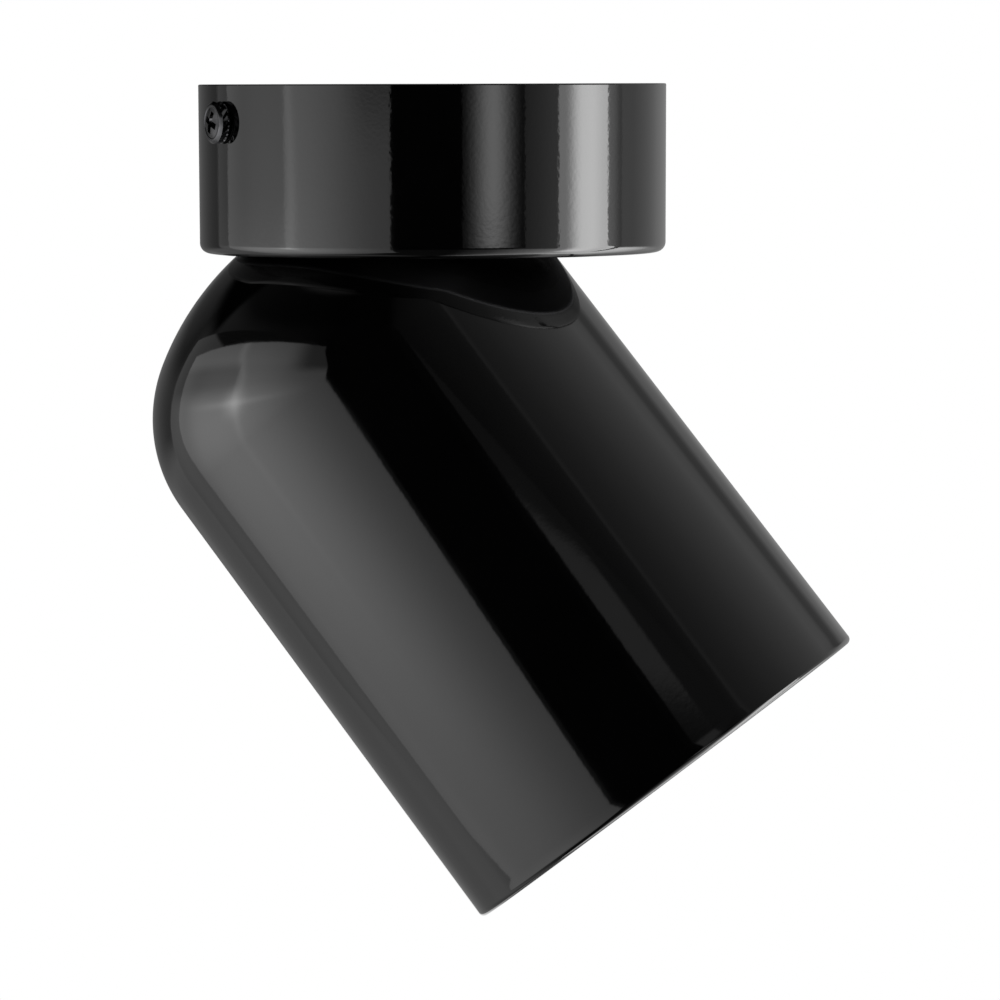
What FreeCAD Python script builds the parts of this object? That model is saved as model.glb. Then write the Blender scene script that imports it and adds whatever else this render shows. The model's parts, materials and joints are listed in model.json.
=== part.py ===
"""Ceiling spotlight: a round canopy with a dished underside, and a head whose domed end nests in the dish.

The head tilts on a yoke inside it and pans on a hollow stem. Millimetres and degrees. The origin is the
centre of the ceiling plane, +Z points to the ceiling, and the head leans towards +X.
"""
import FreeCAD, Part
import math
import os

import Sketcher

Vector = FreeCAD.Vector

# Driving sizes, one table that the sheet holds
SIZES = {
    # Canopy: a die-cast cup, open to the ceiling, with a spherical dish in its underside
    "canopy_top_radius": 45.0,
    "canopy_draft": 0.15,
    "canopy_rim_width": 6.1,
    "wiring_height": 12.4,
    "canopy_wall": 2.2,
    "canopy_edge_round": 2.0,
    "dish_edge_round": 0.6,
    "dish_recess_radius": 11.0,
    "dish_recess_depth": 2.2,
    "boss_radius": 13.5,
    "boss_thickness": 2.6,
    "stop_peg_radius": 1.0,
    "stop_peg_offset": 11.4,
    "stop_peg_height": 2.4,
    # Head: a die-cast tube with a domed end, and the pivot that it tilts about
    "rest_tilt": 37.4,
    "tilt_reach": 40.0,
    "crown_radius": 56.0,
    "nest_gap": 1.0,
    "knuckle_radius": 29.0,
    "mouth_inset": 0.5,
    "head_draft": 0.9,
    "mouth_recess": 15.0,
    "head_wall": 2.0,
    "lip_round": 1.1,
    "ring_seat_depth": 9.0,
    "ring_seat_step": 0.6,
    "slot_side_clearance": 0.8,
    "post_radius": 4.2,
    "post_sink": 0.2,
    # Ceiling plate
    "plate_gap": 4.8,
    "plate_thickness": 1.5,
    "cable_hole_radius": 9.0,
    "fixing_edge": 8.0,
    "fixing_hole_radius": 2.5,
    "fixing_azimuth": 129.0,
    "tab_azimuth": 38.9,
    "tab_width": 12.0,
    "tab_gap": 1.4,
    "tab_length": 12.5,
    "earth_screw_edge": 12.0,
    # Thumbscrews
    "thumb_drop": 7.2,
    "thumb_radius": 4.0,
    "thumb_face_radius": 3.5,
    "thumb_height": 2.3,
    "thumb_collar_height": 0.4,
    "thumb_twist": 9.0,
    "knurl_depth": 0.28,
    "thumb_spare": 3.0,
    # Stem and what is threaded on it
    "stem_radius": 4.95,
    "stem_bore_radius": 3.5,
    "stem_flat_half_width": 4.3,
    "stem_rise": 6.4,
    "stem_tail": 3.5,
    "flange_radius": 9.5,
    "flange_thickness": 1.2,
    "nylon_thickness": 0.8,
    "nylon_radius": 9.6,
    "stop_thickness": 1.2,
    "stop_radius": 8.4,
    "finger_reach": 12.7,
    "finger_half_width": 0.9,
    "wave_thickness": 1.0,
    "wave_radius": 8.0,
    "stem_nut_flats": 14.0,
    "stem_nut_thickness": 2.8,
    # Yoke and pivot
    "yoke_height": 30.0,
    "yoke_half_gap": 23.0,
    "yoke_thickness": 2.0,
    "yoke_width": 16.0,
    "yoke_bend_radius": 3.0,
    "friction_washer_thickness": 1.0,
    "friction_washer_radius": 6.0,
    "pivot_screw_radius": 2.0,
    "pivot_head_radius": 3.9,
    "pivot_head_height": 2.6,
    "pivot_nut_flats": 7.0,
    "pivot_nut_thickness": 3.2,
    "pivot_screw_spare": 0.8,
    # Lamp carrier
    "carrier_clearance": 0.75,
    "carrier_thickness": 1.5,
    "carrier_drop": 12.5,
    "carrier_hole_clearance": 4.0,
    "ear_radius": 7.0,
    "ear_thickness": 1.5,
    "small_screw_radius": 1.45,
    "small_head_radius": 2.75,
    "small_head_height": 1.8,
    "small_screw_length": 8.5,
    # Lampholder and its bracket
    "holder_half_length": 13.0,
    "holder_half_width": 8.0,
    "holder_height": 20.0,
    "holder_pin_hole_radius": 2.9,
    "holder_pin_hole_depth": 9.0,
    "bracket_thickness": 1.2,
    "bracket_width": 14.0,
    "bracket_leg_clearance": 2.0,
    "bracket_foot_length": 7.5,
    "bracket_hole_radius": 5.2,
    "holder_screw_offset": 9.3,
    "holder_screw_length": 7.0,
    "foot_screw_length": 4.5,
    # Lamp
    "lamp_radius": 25.0,
    "lamp_length": 46.0,
    "lamp_neck_radius": 11.5,
    "lamp_neck_length": 9.0,
    "lamp_flare_start_radius": 14.5,
    "lamp_flare_length": 27.0,
    "lamp_flare_arc_radius": 44.0,
    "lamp_rim_width": 2.4,
    "lens_thickness": 1.6,
    "lens_inset": 0.5,
    "pin_spacing": 10.0,
    "pin_radius": 1.5,
    "pin_head_radius": 2.5,
    "pin_length": 7.5,
    "pin_head_length": 3.0,
    # Glare ring in the mouth
    "ring_thickness": 1.0,
    "ring_flange_width": 1.6,
    "ring_lamp_gap": 1.4,
    "ring_cone_rise": 5.6,
    "ring_collar_length": 5.5,
    # Terminal block
    "block_boss_gap": 3.5,
    "block_half_length": 12.0,
    "block_half_width": 7.0,
    "block_height": 13.0,
    "pole_pitch": 8.0,
    "pole_hole_radius": 1.6,
    "pole_hole_depth": 7.0,
    "pole_drop": 7.5,
    "clamp_hole_radius": 1.9,
    "clamp_hole_depth": 4.0,
    "clamp_screw_radius": 1.7,
    "clamp_screw_inset": 1.2,
    "block_fixing_offset": 4.0,
    # Wiring
    "core_radius": 0.9,
    "core_bundle_radius": 1.15,
    "core_lead": 4.5,
    "core_entry": 1.8,
    # Shared clearances
    "running_clearance": 0.05,
    "loose_clearance": 0.2,
    "recess_depth": 1.1,
    "recess_half_width": 0.45,
    "cut_overrun": 1.0,
}
KNURL_TEETH = 24
POLES = 3
CORE_AZIMUTHS = (210, 90, 330)
POST_AZIMUTHS = (0, 120, 240)
# A pan head: its flat top and its driver recess as shares of its radius, its straight rim of its height
CROWN_SHARE = 0.72
RECESS_SHARE = 0.55
RIM_SHARE = 0.45
# Where a tab, a finger or a slot starts inside the piece that it belongs to
ROOT_SHARE = 0.8
# How much of its shorter run a core's bend may take
BEND_SHARE = 0.45
# How near an edge has to be to the place where it is looked for, as a share of the canopy's radius
MATCH_SHARE = 0.001
# Where a terminal core passes: shares of the way to its pole, to the block and down to its hole
TERMINAL_ROUTE_SHARES = (
    (0, 0, 0.38),
    (0.09, 0.09, 0.19),
    (0.32, 0.4, 0.31),
    (0.77, 0.66, 0.66),
    (1, 0.86, 1),
    (1, 1.12, 1),
)
# Where the earth core passes: shares of the way out to its foot screw, aside and of the holder's height
EARTH_ROUTE_SHARES = ((0.09, 0.62, 1.44), (0.5, 1, 1.16), (0.92, 0.95, 0.64), (1.04, 0.78, 0.17))

doc = FreeCAD.newDocument("Spotlight")
sheet = doc.addObject("Spreadsheet::Sheet", "Sizes")
for row, (alias, value) in enumerate(SIZES.items(), start=1):
    sheet.set(f"A{row}", alias)
    sheet.set(f"B{row}", str(value))
    sheet.setAlias(f"B{row}", alias)
doc.recompute()


class Size:
    """A length or angle that knows its number and the expression that it comes from."""

    def __init__(self, number, text):
        self.number = number
        self.text = text

    @staticmethod
    def of(other):
        return other if isinstance(other, Size) else Size(float(other), f"({float(other)!r})")

    def __add__(self, other):
        other = Size.of(other)
        return Size(self.number + other.number, f"({self.text} + {other.text})")

    def __sub__(self, other):
        other = Size.of(other)
        return Size(self.number - other.number, f"({self.text} - {other.text})")

    def __rsub__(self, other):
        return Size.of(other) - self

    def __mul__(self, other):
        other = Size.of(other)
        return Size(self.number * other.number, f"({self.text} * {other.text})")

    def __truediv__(self, other):
        other = Size.of(other)
        return Size(self.number / other.number, f"({self.text} / {other.text})")

    def __neg__(self):
        return Size(-self.number, f"(0 - {self.text})")

    __radd__ = __add__
    __rmul__ = __mul__


def leg(hypotenuse, other):
    """The third side of a right triangle."""
    number = math.sqrt(hypotenuse.number**2 - other.number**2)
    return Size(number, f"sqrt({hypotenuse.text}^2 - {other.text}^2)")


def around(radius, azimuth):
    """The two coordinates of a point at a radius and an azimuth in degrees."""
    return radius * math.cos(math.radians(azimuth)), radius * math.sin(math.radians(azimuth))


class Sheet:
    """Every driving size by its name."""

    def __init__(self):
        for name in SIZES:
            setattr(self, name, Size(float(sheet.get(name)), f"Sizes.{name}"))


s = Sheet()
ZERO = Size(0.0, "0")
QUARTER_TURN = Size.of(90)
HALF_TURN = Size.of(180)

# Places that several pieces share, from the driving sizes
boss_top = -s.wiring_height
recess_ceiling = boss_top - s.boss_thickness
dish_top = recess_ceiling - s.dish_recess_depth
dish_radius = s.crown_radius + s.nest_gap
pivot_depth = dish_radius - dish_top
canopy_bottom_radius = s.canopy_top_radius - s.canopy_draft
dish_mouth_radius = canopy_bottom_radius - s.canopy_rim_width
pivot_drop = leg(dish_radius, dish_mouth_radius)
canopy_height = pivot_depth - pivot_drop
canopy_inner_radius = s.canopy_top_radius - s.canopy_wall
stem_hole_radius = s.stem_radius + s.running_clearance
stem_top = boss_top + s.stem_rise
stem_bottom = s.yoke_height - s.yoke_thickness - s.stem_tail - pivot_depth

plate_radius = canopy_inner_radius - s.plate_gap
fixing_circle_radius = plate_radius - s.fixing_edge
tab_face_radius = canopy_inner_radius - s.tab_gap
earth_screw_offset = plate_radius - s.earth_screw_edge
block_near = s.boss_radius + s.block_boss_gap
block_centre = block_near + s.block_half_width
block_top = -s.plate_thickness
block_low = block_top - s.block_height

carrier_front = -(s.carrier_drop + s.carrier_thickness)
lamp_front = carrier_front - s.lamp_length
mouth_height = lamp_front - s.mouth_recess
seat_height = mouth_height + s.ring_seat_depth
mouth_radius = s.canopy_top_radius - s.mouth_inset
shoulder_radius = mouth_radius - s.head_draft
knuckle_centre_radius = shoulder_radius - s.knuckle_radius
knuckle_centre_height = leg(s.crown_radius - s.knuckle_radius, knuckle_centre_radius)
bore_slope = s.head_draft / (knuckle_centre_height - mouth_height)
bore_at_carrier = shoulder_radius - s.head_wall + bore_slope * (knuckle_centre_height + s.carrier_drop)
post_offset = bore_at_carrier + s.post_sink - s.post_radius
ring_seat_radius = mouth_radius - s.head_wall + s.ring_seat_step

holder_back = carrier_front + s.holder_height
bracket_leg_outer = s.holder_half_length + s.bracket_leg_clearance + s.bracket_thickness
foot_screw_offset = bracket_leg_outer + s.bracket_foot_length / 2
ear_outer_face = s.yoke_half_gap - s.friction_washer_thickness
ear_inner_face = ear_outer_face - s.ear_thickness
yoke_outer_face = s.yoke_half_gap + s.yoke_thickness
pieces = []


def place(item, x=ZERO, y=ZERO, z=ZERO, axis=(0, 0, 1), angle=ZERO):
    """Binds an object's place, and its turn about an axis, to sizes."""
    spot = f"vector({x.text}; {y.text}; {z.text})"
    turn = f"rotation(vector({axis[0]}; {axis[1]}; {axis[2]}); {angle.text})"
    item.setExpression("Placement", f"placement({spot}; {turn})")


def keep(item, label, frame):
    """Names a finished sub-part and puts it in the frame of the ceiling, the pivot or the leaning head."""
    item.Label = label
    if frame == "ceiling":
        place(item)
    if frame == "pivot":
        place(item, z=-pivot_depth)
    if frame == "head":
        place(item, z=-pivot_depth, axis=(0, 1, 0), angle=-s.rest_tilt)
    pieces.append(item)
    return item


def new_body(name):
    return doc.addObject("PartDesign::Body", name)


def new_sketch(body, plane, lift=ZERO, axis=(0, 0, 1), turn=ZERO):
    """A sketch on one of the body's planes, lifted along its normal and turned about one of its axes."""
    sketch = body.newObject("Sketcher::SketchObject", "Outline")
    base = next(item for item in body.Origin.OriginFeatures if item.Role == plane)
    sketch.AttachmentSupport = [(base, "")]
    sketch.MapMode = "FlatFace"
    spot = f"vector(0; 0; {lift.text})"
    rotation = f"rotation(vector({axis[0]}; {axis[1]}; {axis[2]}); {turn.text})"
    sketch.setExpression("AttachmentOffset", f"placement({spot}; {rotation})")
    return sketch


def pin_point(sketch, geometry, end, x, y):
    """Fixes one end of a piece of geometry at a pair of sizes."""
    for kind, size in (("DistanceX", x), ("DistanceY", y)):
        index = sketch.addConstraint(Sketcher.Constraint(kind, -1, 1, geometry, end, size.number))
        sketch.setExpression(f"Constraints[{index}]", size.text)


def arc_middle(start, stop, radius):
    """The middle of the short arc between two points, to the right of the way for a positive radius."""
    chord = stop - start
    half = chord.Length / 2
    sagitta = abs(radius) - math.sqrt(radius * radius - half * half)
    side = Vector(chord.y, -chord.x, 0).normalize()
    return (start + stop) * 0.5 + side * math.copysign(sagitta, radius)


def outline(sketch, corners, arcs=None):
    """A closed outline through corners. arcs has arc radii by first corner, above 0 to the right."""
    arcs = arcs or {}
    spots = [Vector(Size.of(x).number, Size.of(y).number, 0) for x, y in corners]
    ends = []
    for index, start in enumerate(spots):
        stop = spots[(index + 1) % len(spots)]
        if index not in arcs:
            ends.append((sketch.addGeometry(Part.LineSegment(start, stop), False), 1, 2))
            continue
        radius = arcs[index]
        middle = arc_middle(start, stop, radius.number)
        if radius.number > 0:
            ends.append((sketch.addGeometry(Part.Arc(start, middle, stop), False), 1, 2))
        else:
            ends.append((sketch.addGeometry(Part.Arc(stop, middle, start), False), 2, 1))
    for index, (geometry, first, last) in enumerate(ends):
        following = ends[(index + 1) % len(ends)]
        sketch.addConstraint(Sketcher.Constraint("Coincident", geometry, last, following[0], following[1]))
    for (geometry, first, last), (x, y) in zip(ends, corners):
        pin_point(sketch, geometry, first, Size.of(x), Size.of(y))
    for index, radius in arcs.items():
        size = radius if radius.number > 0 else -radius
        number = sketch.addConstraint(Sketcher.Constraint("Radius", ends[index][0], size.number))
        sketch.setExpression(f"Constraints[{number}]", size.text)


def circle(sketch, radius, x=ZERO, y=ZERO):
    """A circle with its centre at a pair of sizes."""
    spot = Vector(x.number, y.number, 0)
    geometry = sketch.addGeometry(Part.Circle(spot, Vector(0, 0, 1), radius.number), False)
    pin_point(sketch, geometry, 3, x, y)
    index = sketch.addConstraint(Sketcher.Constraint("Radius", geometry, radius.number))
    sketch.setExpression(f"Constraints[{index}]", radius.text)


def rectangle(sketch, left, right, low, high):
    outline(sketch, [(left, low), (right, low), (right, high), (left, high)])


def extrude(body, kind, sketch, length=None, both=False, forward=True):
    """A pad or pocket along the normal if forward, or to both sides, and through all with no length."""
    feature = body.newObject(f"PartDesign::{kind}", kind)
    feature.Profile = sketch
    feature.SideType = "Symmetric" if both else "One side"
    feature.Reversed = (kind == "Pocket") == forward and not both
    if length is None:
        feature.Type = "ThroughAll"
    else:
        feature.setExpression("Length", length.text)
    return feature


def pad(body, sketch, length, both=False, forward=True):
    return extrude(body, "Pad", sketch, length, both, forward)


def pocket(body, sketch, length=None, both=False, forward=True):
    return extrude(body, "Pocket", sketch, length, both, forward)


def revolve(body, corners, arcs=None, name="Revolution"):
    """A full turn of an outline in the XZ plane about Z."""
    sketch = new_sketch(body, "XZ_Plane")
    outline(sketch, corners, arcs)
    feature = body.newObject(f"PartDesign::{name}", name)
    feature.Profile = sketch
    feature.ReferenceAxis = (sketch, ["V_Axis"])
    feature.Angle = 360
    return feature


def round_edges(body, radius, wanted):
    """Rounds the edges of the body so far that pass a test."""
    doc.recompute()
    base = body.Tip
    names = [f"Edge{i}" for i, edge in enumerate(base.Shape.Edges, start=1) if wanted(edge)]
    feature = body.newObject("PartDesign::Fillet", "Fillet")
    feature.Base = (base, names)
    feature.setExpression("Radius", radius.text)
    return feature


def is_ring(edge, radius, height):
    """Whether an edge is a circle about Z of a given radius at a given height."""
    if edge.Degenerated:
        return False
    curve = edge.Curve
    if not isinstance(curve, Part.Circle) or abs(curve.Axis.z) < 1 - MATCH_SHARE:
        return False
    near = MATCH_SHARE * s.canopy_top_radius.number
    flat = math.hypot(curve.Center.x, curve.Center.y)
    same_radius = abs(curve.Radius - radius.number) < near
    return flat < near and same_radius and abs(curve.Center.z - height.number) < near


def washer(name, outer, inner, low, thickness):
    """A flat ring about Z."""
    body = new_body(name)
    sketch = new_sketch(body, "XY_Plane", low)
    circle(sketch, outer)
    circle(sketch, inner)
    pad(body, sketch, thickness)
    return body


def hexagon_corners(flats):
    """The corners of a hexagon from its width across flats."""
    corner = flats / math.sqrt(3)
    angles = [math.radians(60 * i) for i in range(6)]
    return [(corner * math.cos(angle), corner * math.sin(angle)) for angle in angles]


def nut(name, flats, bore, low, thickness):
    """A hexagon nut about Z."""
    body = new_body(name)
    sketch = new_sketch(body, "XY_Plane", low)
    outline(sketch, hexagon_corners(flats))
    circle(sketch, bore)
    pad(body, sketch, thickness)
    return body


def cross_recess(body, top, reach):
    """A cross-shaped driver recess in the top of a screw head."""
    for across, along in ((reach, s.recess_half_width), (s.recess_half_width, reach)):
        sketch = new_sketch(body, "XY_Plane", top)
        rectangle(sketch, -across, across, -along, along)
        pocket(body, sketch, s.recess_depth, forward=False)


def screw(name, head_radius, head_height, shank_radius, shank_length):
    """A pan-head screw along Z: the head's bearing face is at zero and the shank points down."""
    body = new_body(name)
    crown = head_radius * CROWN_SHARE
    corners = [
        (ZERO, -shank_length),
        (shank_radius, -shank_length),
        (shank_radius, ZERO),
        (head_radius, ZERO),
        (head_radius, head_height * RIM_SHARE),
        (crown, head_height),
        (ZERO, head_height),
    ]
    revolve(body, corners, {4: head_radius})
    cross_recess(body, head_height, head_radius * RECESS_SHARE)
    return body


def pair(source, normal, label, frame):
    """A piece and its mirror image, as two solids of one sub-part."""
    twin = doc.addObject("Part::Mirroring", "Twin")
    twin.Source = source
    twin.Normal = Vector(*normal)
    group = doc.addObject("Part::Compound", "Pair")
    group.Links = [source, twin]
    return keep(group, label, frame)


def make_canopy():
    """The die-cast canopy: side wall, flat rim below, and a dish concentric with the head's pivot."""
    body = new_body("Canopy")
    inner_dish = dish_radius + s.canopy_wall
    floor = s.canopy_wall - canopy_height
    corners = [
        (stem_hole_radius, boss_top),
        (stem_hole_radius, recess_ceiling),
        (s.dish_recess_radius, recess_ceiling),
        (s.dish_recess_radius, leg(dish_radius, s.dish_recess_radius) - pivot_depth),
        (dish_mouth_radius, -canopy_height),
        (canopy_bottom_radius, -canopy_height),
        (s.canopy_top_radius, ZERO),
        (canopy_inner_radius, ZERO),
        (canopy_inner_radius, floor),
        (leg(inner_dish, pivot_depth + floor), floor),
        (s.boss_radius, leg(inner_dish, s.boss_radius) - pivot_depth),
        (s.boss_radius, boss_top),
    ]
    revolve(body, corners, {3: -dish_radius, 9: inner_dish})
    round_edges(body, s.canopy_edge_round, lambda edge: is_ring(edge, canopy_bottom_radius, -canopy_height))
    round_edges(body, s.dish_edge_round, lambda edge: is_ring(edge, dish_mouth_radius, -canopy_height))
    sketch = new_sketch(body, "YZ_Plane", axis=(0, 1, 0), turn=s.tab_azimuth)
    circle(sketch, s.pivot_screw_radius + s.loose_clearance, ZERO, -s.thumb_drop)
    pocket(body, sketch, both=True)
    sketch = new_sketch(body, "XY_Plane", boss_top)
    circle(sketch, s.stop_peg_radius, -s.stop_peg_offset)
    pad(body, sketch, s.stop_peg_height)
    return keep(body, "canopy", "ceiling")


def make_ceiling_plate():
    """The steel plate that is screwed to the ceiling, with two tabs bent down for the thumbscrews."""
    body = new_body("CeilingPlate")
    sketch = new_sketch(body, "XY_Plane", -s.plate_thickness)
    circle(sketch, plate_radius)
    pad(body, sketch, s.plate_thickness)
    tab_inner = tab_face_radius - s.plate_thickness
    tab_root = plate_radius * ROOT_SHARE
    for turn in (s.tab_azimuth, s.tab_azimuth + 180):
        sketch = new_sketch(body, "XZ_Plane", axis=(0, 1, 0), turn=turn)
        corners = [
            (tab_root, -s.plate_thickness),
            (tab_inner, -s.plate_thickness),
            (tab_inner, -s.tab_length),
            (tab_face_radius, -s.tab_length),
            (tab_face_radius, -s.plate_thickness),
            (tab_inner, ZERO),
            (tab_root, ZERO),
        ]
        outline(sketch, corners, {4: s.plate_thickness})
        pad(body, sketch, s.tab_width, both=True)
    sketch = new_sketch(body, "YZ_Plane", axis=(0, 1, 0), turn=s.tab_azimuth)
    circle(sketch, s.pivot_screw_radius, ZERO, -s.thumb_drop)
    pocket(body, sketch, both=True)
    sketch = new_sketch(body, "XY_Plane", turn=s.fixing_azimuth)
    circle(sketch, s.fixing_hole_radius, fixing_circle_radius)
    circle(sketch, s.fixing_hole_radius, -fixing_circle_radius)
    pocket(body, sketch, both=True)
    sketch = new_sketch(body, "XY_Plane")
    circle(sketch, s.cable_hole_radius)
    circle(sketch, s.pivot_screw_radius, -earth_screw_offset)
    for side in (-1, 1):
        circle(sketch, s.small_screw_radius, s.block_fixing_offset * side, block_centre)
    pocket(body, sketch, both=True)
    return keep(body, "ceiling_plate", "ceiling")


def star_wire(height, turn):
    """The outline of the knurled rim at a height: a star of shallow teeth, turned a little for the helix."""
    spots = []
    for i in range(2 * KNURL_TEETH):
        radius = s.thumb_radius - (s.knurl_depth if i % 2 else ZERO)
        angle = math.radians(turn) + math.pi * i / KNURL_TEETH
        spots.append(Vector(radius.number * math.cos(angle), radius.number * math.sin(angle), height))
    return Part.makePolygon(spots + spots[:1])


def make_thumbscrews():
    """Two thumbscrews through the canopy's side into the plate's tabs, with a cross recess in each face."""
    low = s.thumb_collar_height.number
    high = s.thumb_height.number - s.knurl_depth.number
    rim = doc.addObject("Part::Feature", "KnurledRim")
    rim.Shape = Part.makeLoft([star_wire(low, 0), star_wire(high, s.thumb_twist.number)], True, True)
    shank_length = s.canopy_top_radius - tab_face_radius + s.plate_thickness + s.thumb_spare
    core = new_body("ThumbCore")
    corners = [
        (ZERO, -shank_length),
        (s.pivot_screw_radius - s.running_clearance, -shank_length),
        (s.pivot_screw_radius - s.running_clearance, ZERO),
        (s.thumb_face_radius, ZERO),
        (s.thumb_face_radius, s.thumb_height),
        (ZERO, s.thumb_height),
    ]
    revolve(core, corners)
    joined = doc.addObject("Part::Fuse", "ThumbSolid")
    joined.Base = core
    joined.Tool = rim
    slots = []
    reach = s.thumb_radius * RECESS_SHARE
    for half_x, half_y in ((reach, s.recess_half_width), (s.recess_half_width, reach)):
        bar = doc.addObject("Part::Box", "RecessBar")
        bar.setExpression("Length", (half_x * 2).text)
        bar.setExpression("Width", (half_y * 2).text)
        bar.setExpression("Height", (s.recess_depth + s.cut_overrun).text)
        place(bar, -half_x, -half_y, s.thumb_height - s.recess_depth)
        slots.append(bar)
    recess = doc.addObject("Part::Fuse", "Recess")
    recess.Base = slots[0]
    recess.Tool = slots[1]
    solid = doc.addObject("Part::Cut", "Thumbscrew")
    solid.Base = joined
    solid.Tool = recess
    place(solid, s.canopy_top_radius, ZERO, -s.thumb_drop, (0, 1, 0), QUARTER_TURN)
    group = pair(solid, (1, 0, 0), "thumbscrews", "ceiling")
    place(group, angle=s.tab_azimuth)
    return group


def make_terminal_block():
    """The three-pole terminal block under the plate, its clamp screws and its two fixing screws."""
    body = new_body("TerminalBlock")
    sketch = new_sketch(body, "XY_Plane", block_low)
    block_far = block_centre + s.block_half_width
    rectangle(sketch, -s.block_half_length, s.block_half_length, block_near, block_far)
    pad(body, sketch, s.block_height)
    poles = [s.pole_pitch * (i - (POLES - 1) / 2) for i in range(POLES)]
    sketch = new_sketch(body, "XZ_Plane", -block_near)
    for x in poles:
        circle(sketch, s.pole_hole_radius, x, block_top - s.pole_drop)
    pocket(body, sketch, s.pole_hole_depth, forward=False)
    sketch = new_sketch(body, "XY_Plane", block_low)
    for x in poles:
        circle(sketch, s.clamp_hole_radius, x, block_near + s.pole_hole_depth / 2)
    pocket(body, sketch, s.clamp_hole_depth)
    sketch = new_sketch(body, "XY_Plane")
    for side in (-1, 1):
        circle(sketch, s.small_screw_radius + s.loose_clearance, s.block_fixing_offset * side, block_centre)
    pocket(body, sketch, both=True)
    keep(body, "terminal_block", "ceiling")

    clamps = []
    for x in poles:
        shaft = doc.addObject("Part::Cylinder", "ClampShaft")
        shaft.setExpression("Radius", s.clamp_screw_radius.text)
        shaft.setExpression("Height", (s.clamp_hole_depth - s.clamp_screw_inset).text)
        place(shaft, x, block_near + s.pole_hole_depth / 2, block_low + s.clamp_screw_inset)
        clamps.append(shaft)
    group = doc.addObject("Part::Compound", "ClampScrews")
    group.Links = clamps
    keep(group, "terminal_clamp_screws", "ceiling")

    fixing = screw(
        "BlockScrew", s.small_head_radius, s.small_head_height, s.small_screw_radius - s.running_clearance,
        s.block_height + s.plate_thickness - s.running_clearance,
    )
    place(fixing, s.block_fixing_offset, block_centre, block_low, (1, 0, 0), HALF_TURN)
    pair(fixing, (1, 0, 0), "terminal_fixing_screws", "ceiling")


def make_earth_screw():
    """The earth screw of the plate, with its washer."""
    ring = washer(
        "EarthWasher", s.pivot_head_radius + s.nylon_thickness, s.pivot_screw_radius + s.running_clearance,
        -s.plate_thickness - s.nylon_thickness, s.nylon_thickness,
    )
    group = doc.addObject("Part::Compound", "EarthWasherPlaced")
    group.Links = [ring]
    keep(group, "earth_washer", "ceiling")
    place(group, -earth_screw_offset)
    body = screw(
        "EarthScrew", s.pivot_head_radius, s.pivot_head_height, s.pivot_screw_radius - s.running_clearance,
        s.plate_thickness + s.nylon_thickness,
    )
    keep(body, "earth_screw", "ceiling")
    place(body, -earth_screw_offset, ZERO, -s.plate_thickness - s.nylon_thickness, (1, 0, 0), HALF_TURN)


def make_stem_stack():
    """The hollow stem, and the washers and nut above and below the boss that let it pan and hold it."""
    flange_top = recess_ceiling - s.nylon_thickness
    flange_low = flange_top - s.flange_thickness
    stem = new_body("Stem")
    corners = [
        (s.stem_bore_radius, stem_bottom),
        (s.stem_radius, stem_bottom),
        (s.stem_radius, flange_low),
        (s.flange_radius, flange_low),
        (s.flange_radius, flange_top),
        (s.stem_radius, flange_top),
        (s.stem_radius, stem_top),
        (s.stem_bore_radius, stem_top),
    ]
    revolve(stem, corners)
    flat_low = boss_top + s.nylon_thickness
    for side in (-1, 1):
        sketch = new_sketch(stem, "XY_Plane", flat_low)
        beyond = s.stem_radius + s.cut_overrun
        edges = sorted((s.stem_flat_half_width * side, beyond * side), key=lambda edge: edge.number)
        rectangle(sketch, -beyond, beyond, *edges)
        pocket(stem, sketch)
    keep(stem, "stem", "ceiling")

    ring = washer("UpperNylon", s.nylon_radius, stem_hole_radius, boss_top, s.nylon_thickness)
    keep(ring, "upper_nylon_washer", "ceiling")
    ring = washer("LowerNylon", s.nylon_radius, stem_hole_radius, flange_top, s.nylon_thickness)
    keep(ring, "lower_nylon_washer", "ceiling")
    stop = new_body("StopWasher")
    sketch = new_sketch(stop, "XY_Plane", flat_low)
    circle(sketch, s.stop_radius)
    pad(stop, sketch, s.stop_thickness)
    sketch = new_sketch(stop, "XY_Plane", flat_low)
    rectangle(sketch, s.stop_radius * ROOT_SHARE, s.finger_reach, -s.finger_half_width, s.finger_half_width)
    pad(stop, sketch, s.stop_thickness)
    sketch = new_sketch(stop, "XY_Plane", flat_low)
    flat = s.stem_flat_half_width + s.running_clearance
    reach = leg(stem_hole_radius, flat)
    corners = [(-reach, -flat), (reach, -flat), (reach, flat), (-reach, flat)]
    outline(sketch, corners, {1: stem_hole_radius, 3: stem_hole_radius})
    pocket(stop, sketch)
    keep(stop, "pan_stop_washer", "ceiling")
    wave_low = flat_low + s.stop_thickness
    wave = washer("Wave", s.wave_radius, stem_hole_radius, wave_low, s.wave_thickness)
    keep(wave, "spring_washer", "ceiling")
    nut_low = wave_low + s.wave_thickness
    top_nut = nut("PanNut", s.stem_nut_flats, stem_hole_radius, nut_low, s.stem_nut_thickness)
    keep(top_nut, "pan_nut", "ceiling")
    bridge_top = s.yoke_height
    upper = nut("YokeNutUpper", s.stem_nut_flats, stem_hole_radius, bridge_top, s.stem_nut_thickness)
    keep(upper, "yoke_nut_upper", "pivot")
    lower_low = bridge_top - s.yoke_thickness - s.stem_nut_thickness
    lower = nut("YokeNutLower", s.stem_nut_flats, stem_hole_radius, lower_low, s.stem_nut_thickness)
    keep(lower, "yoke_nut_lower", "pivot")


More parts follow.
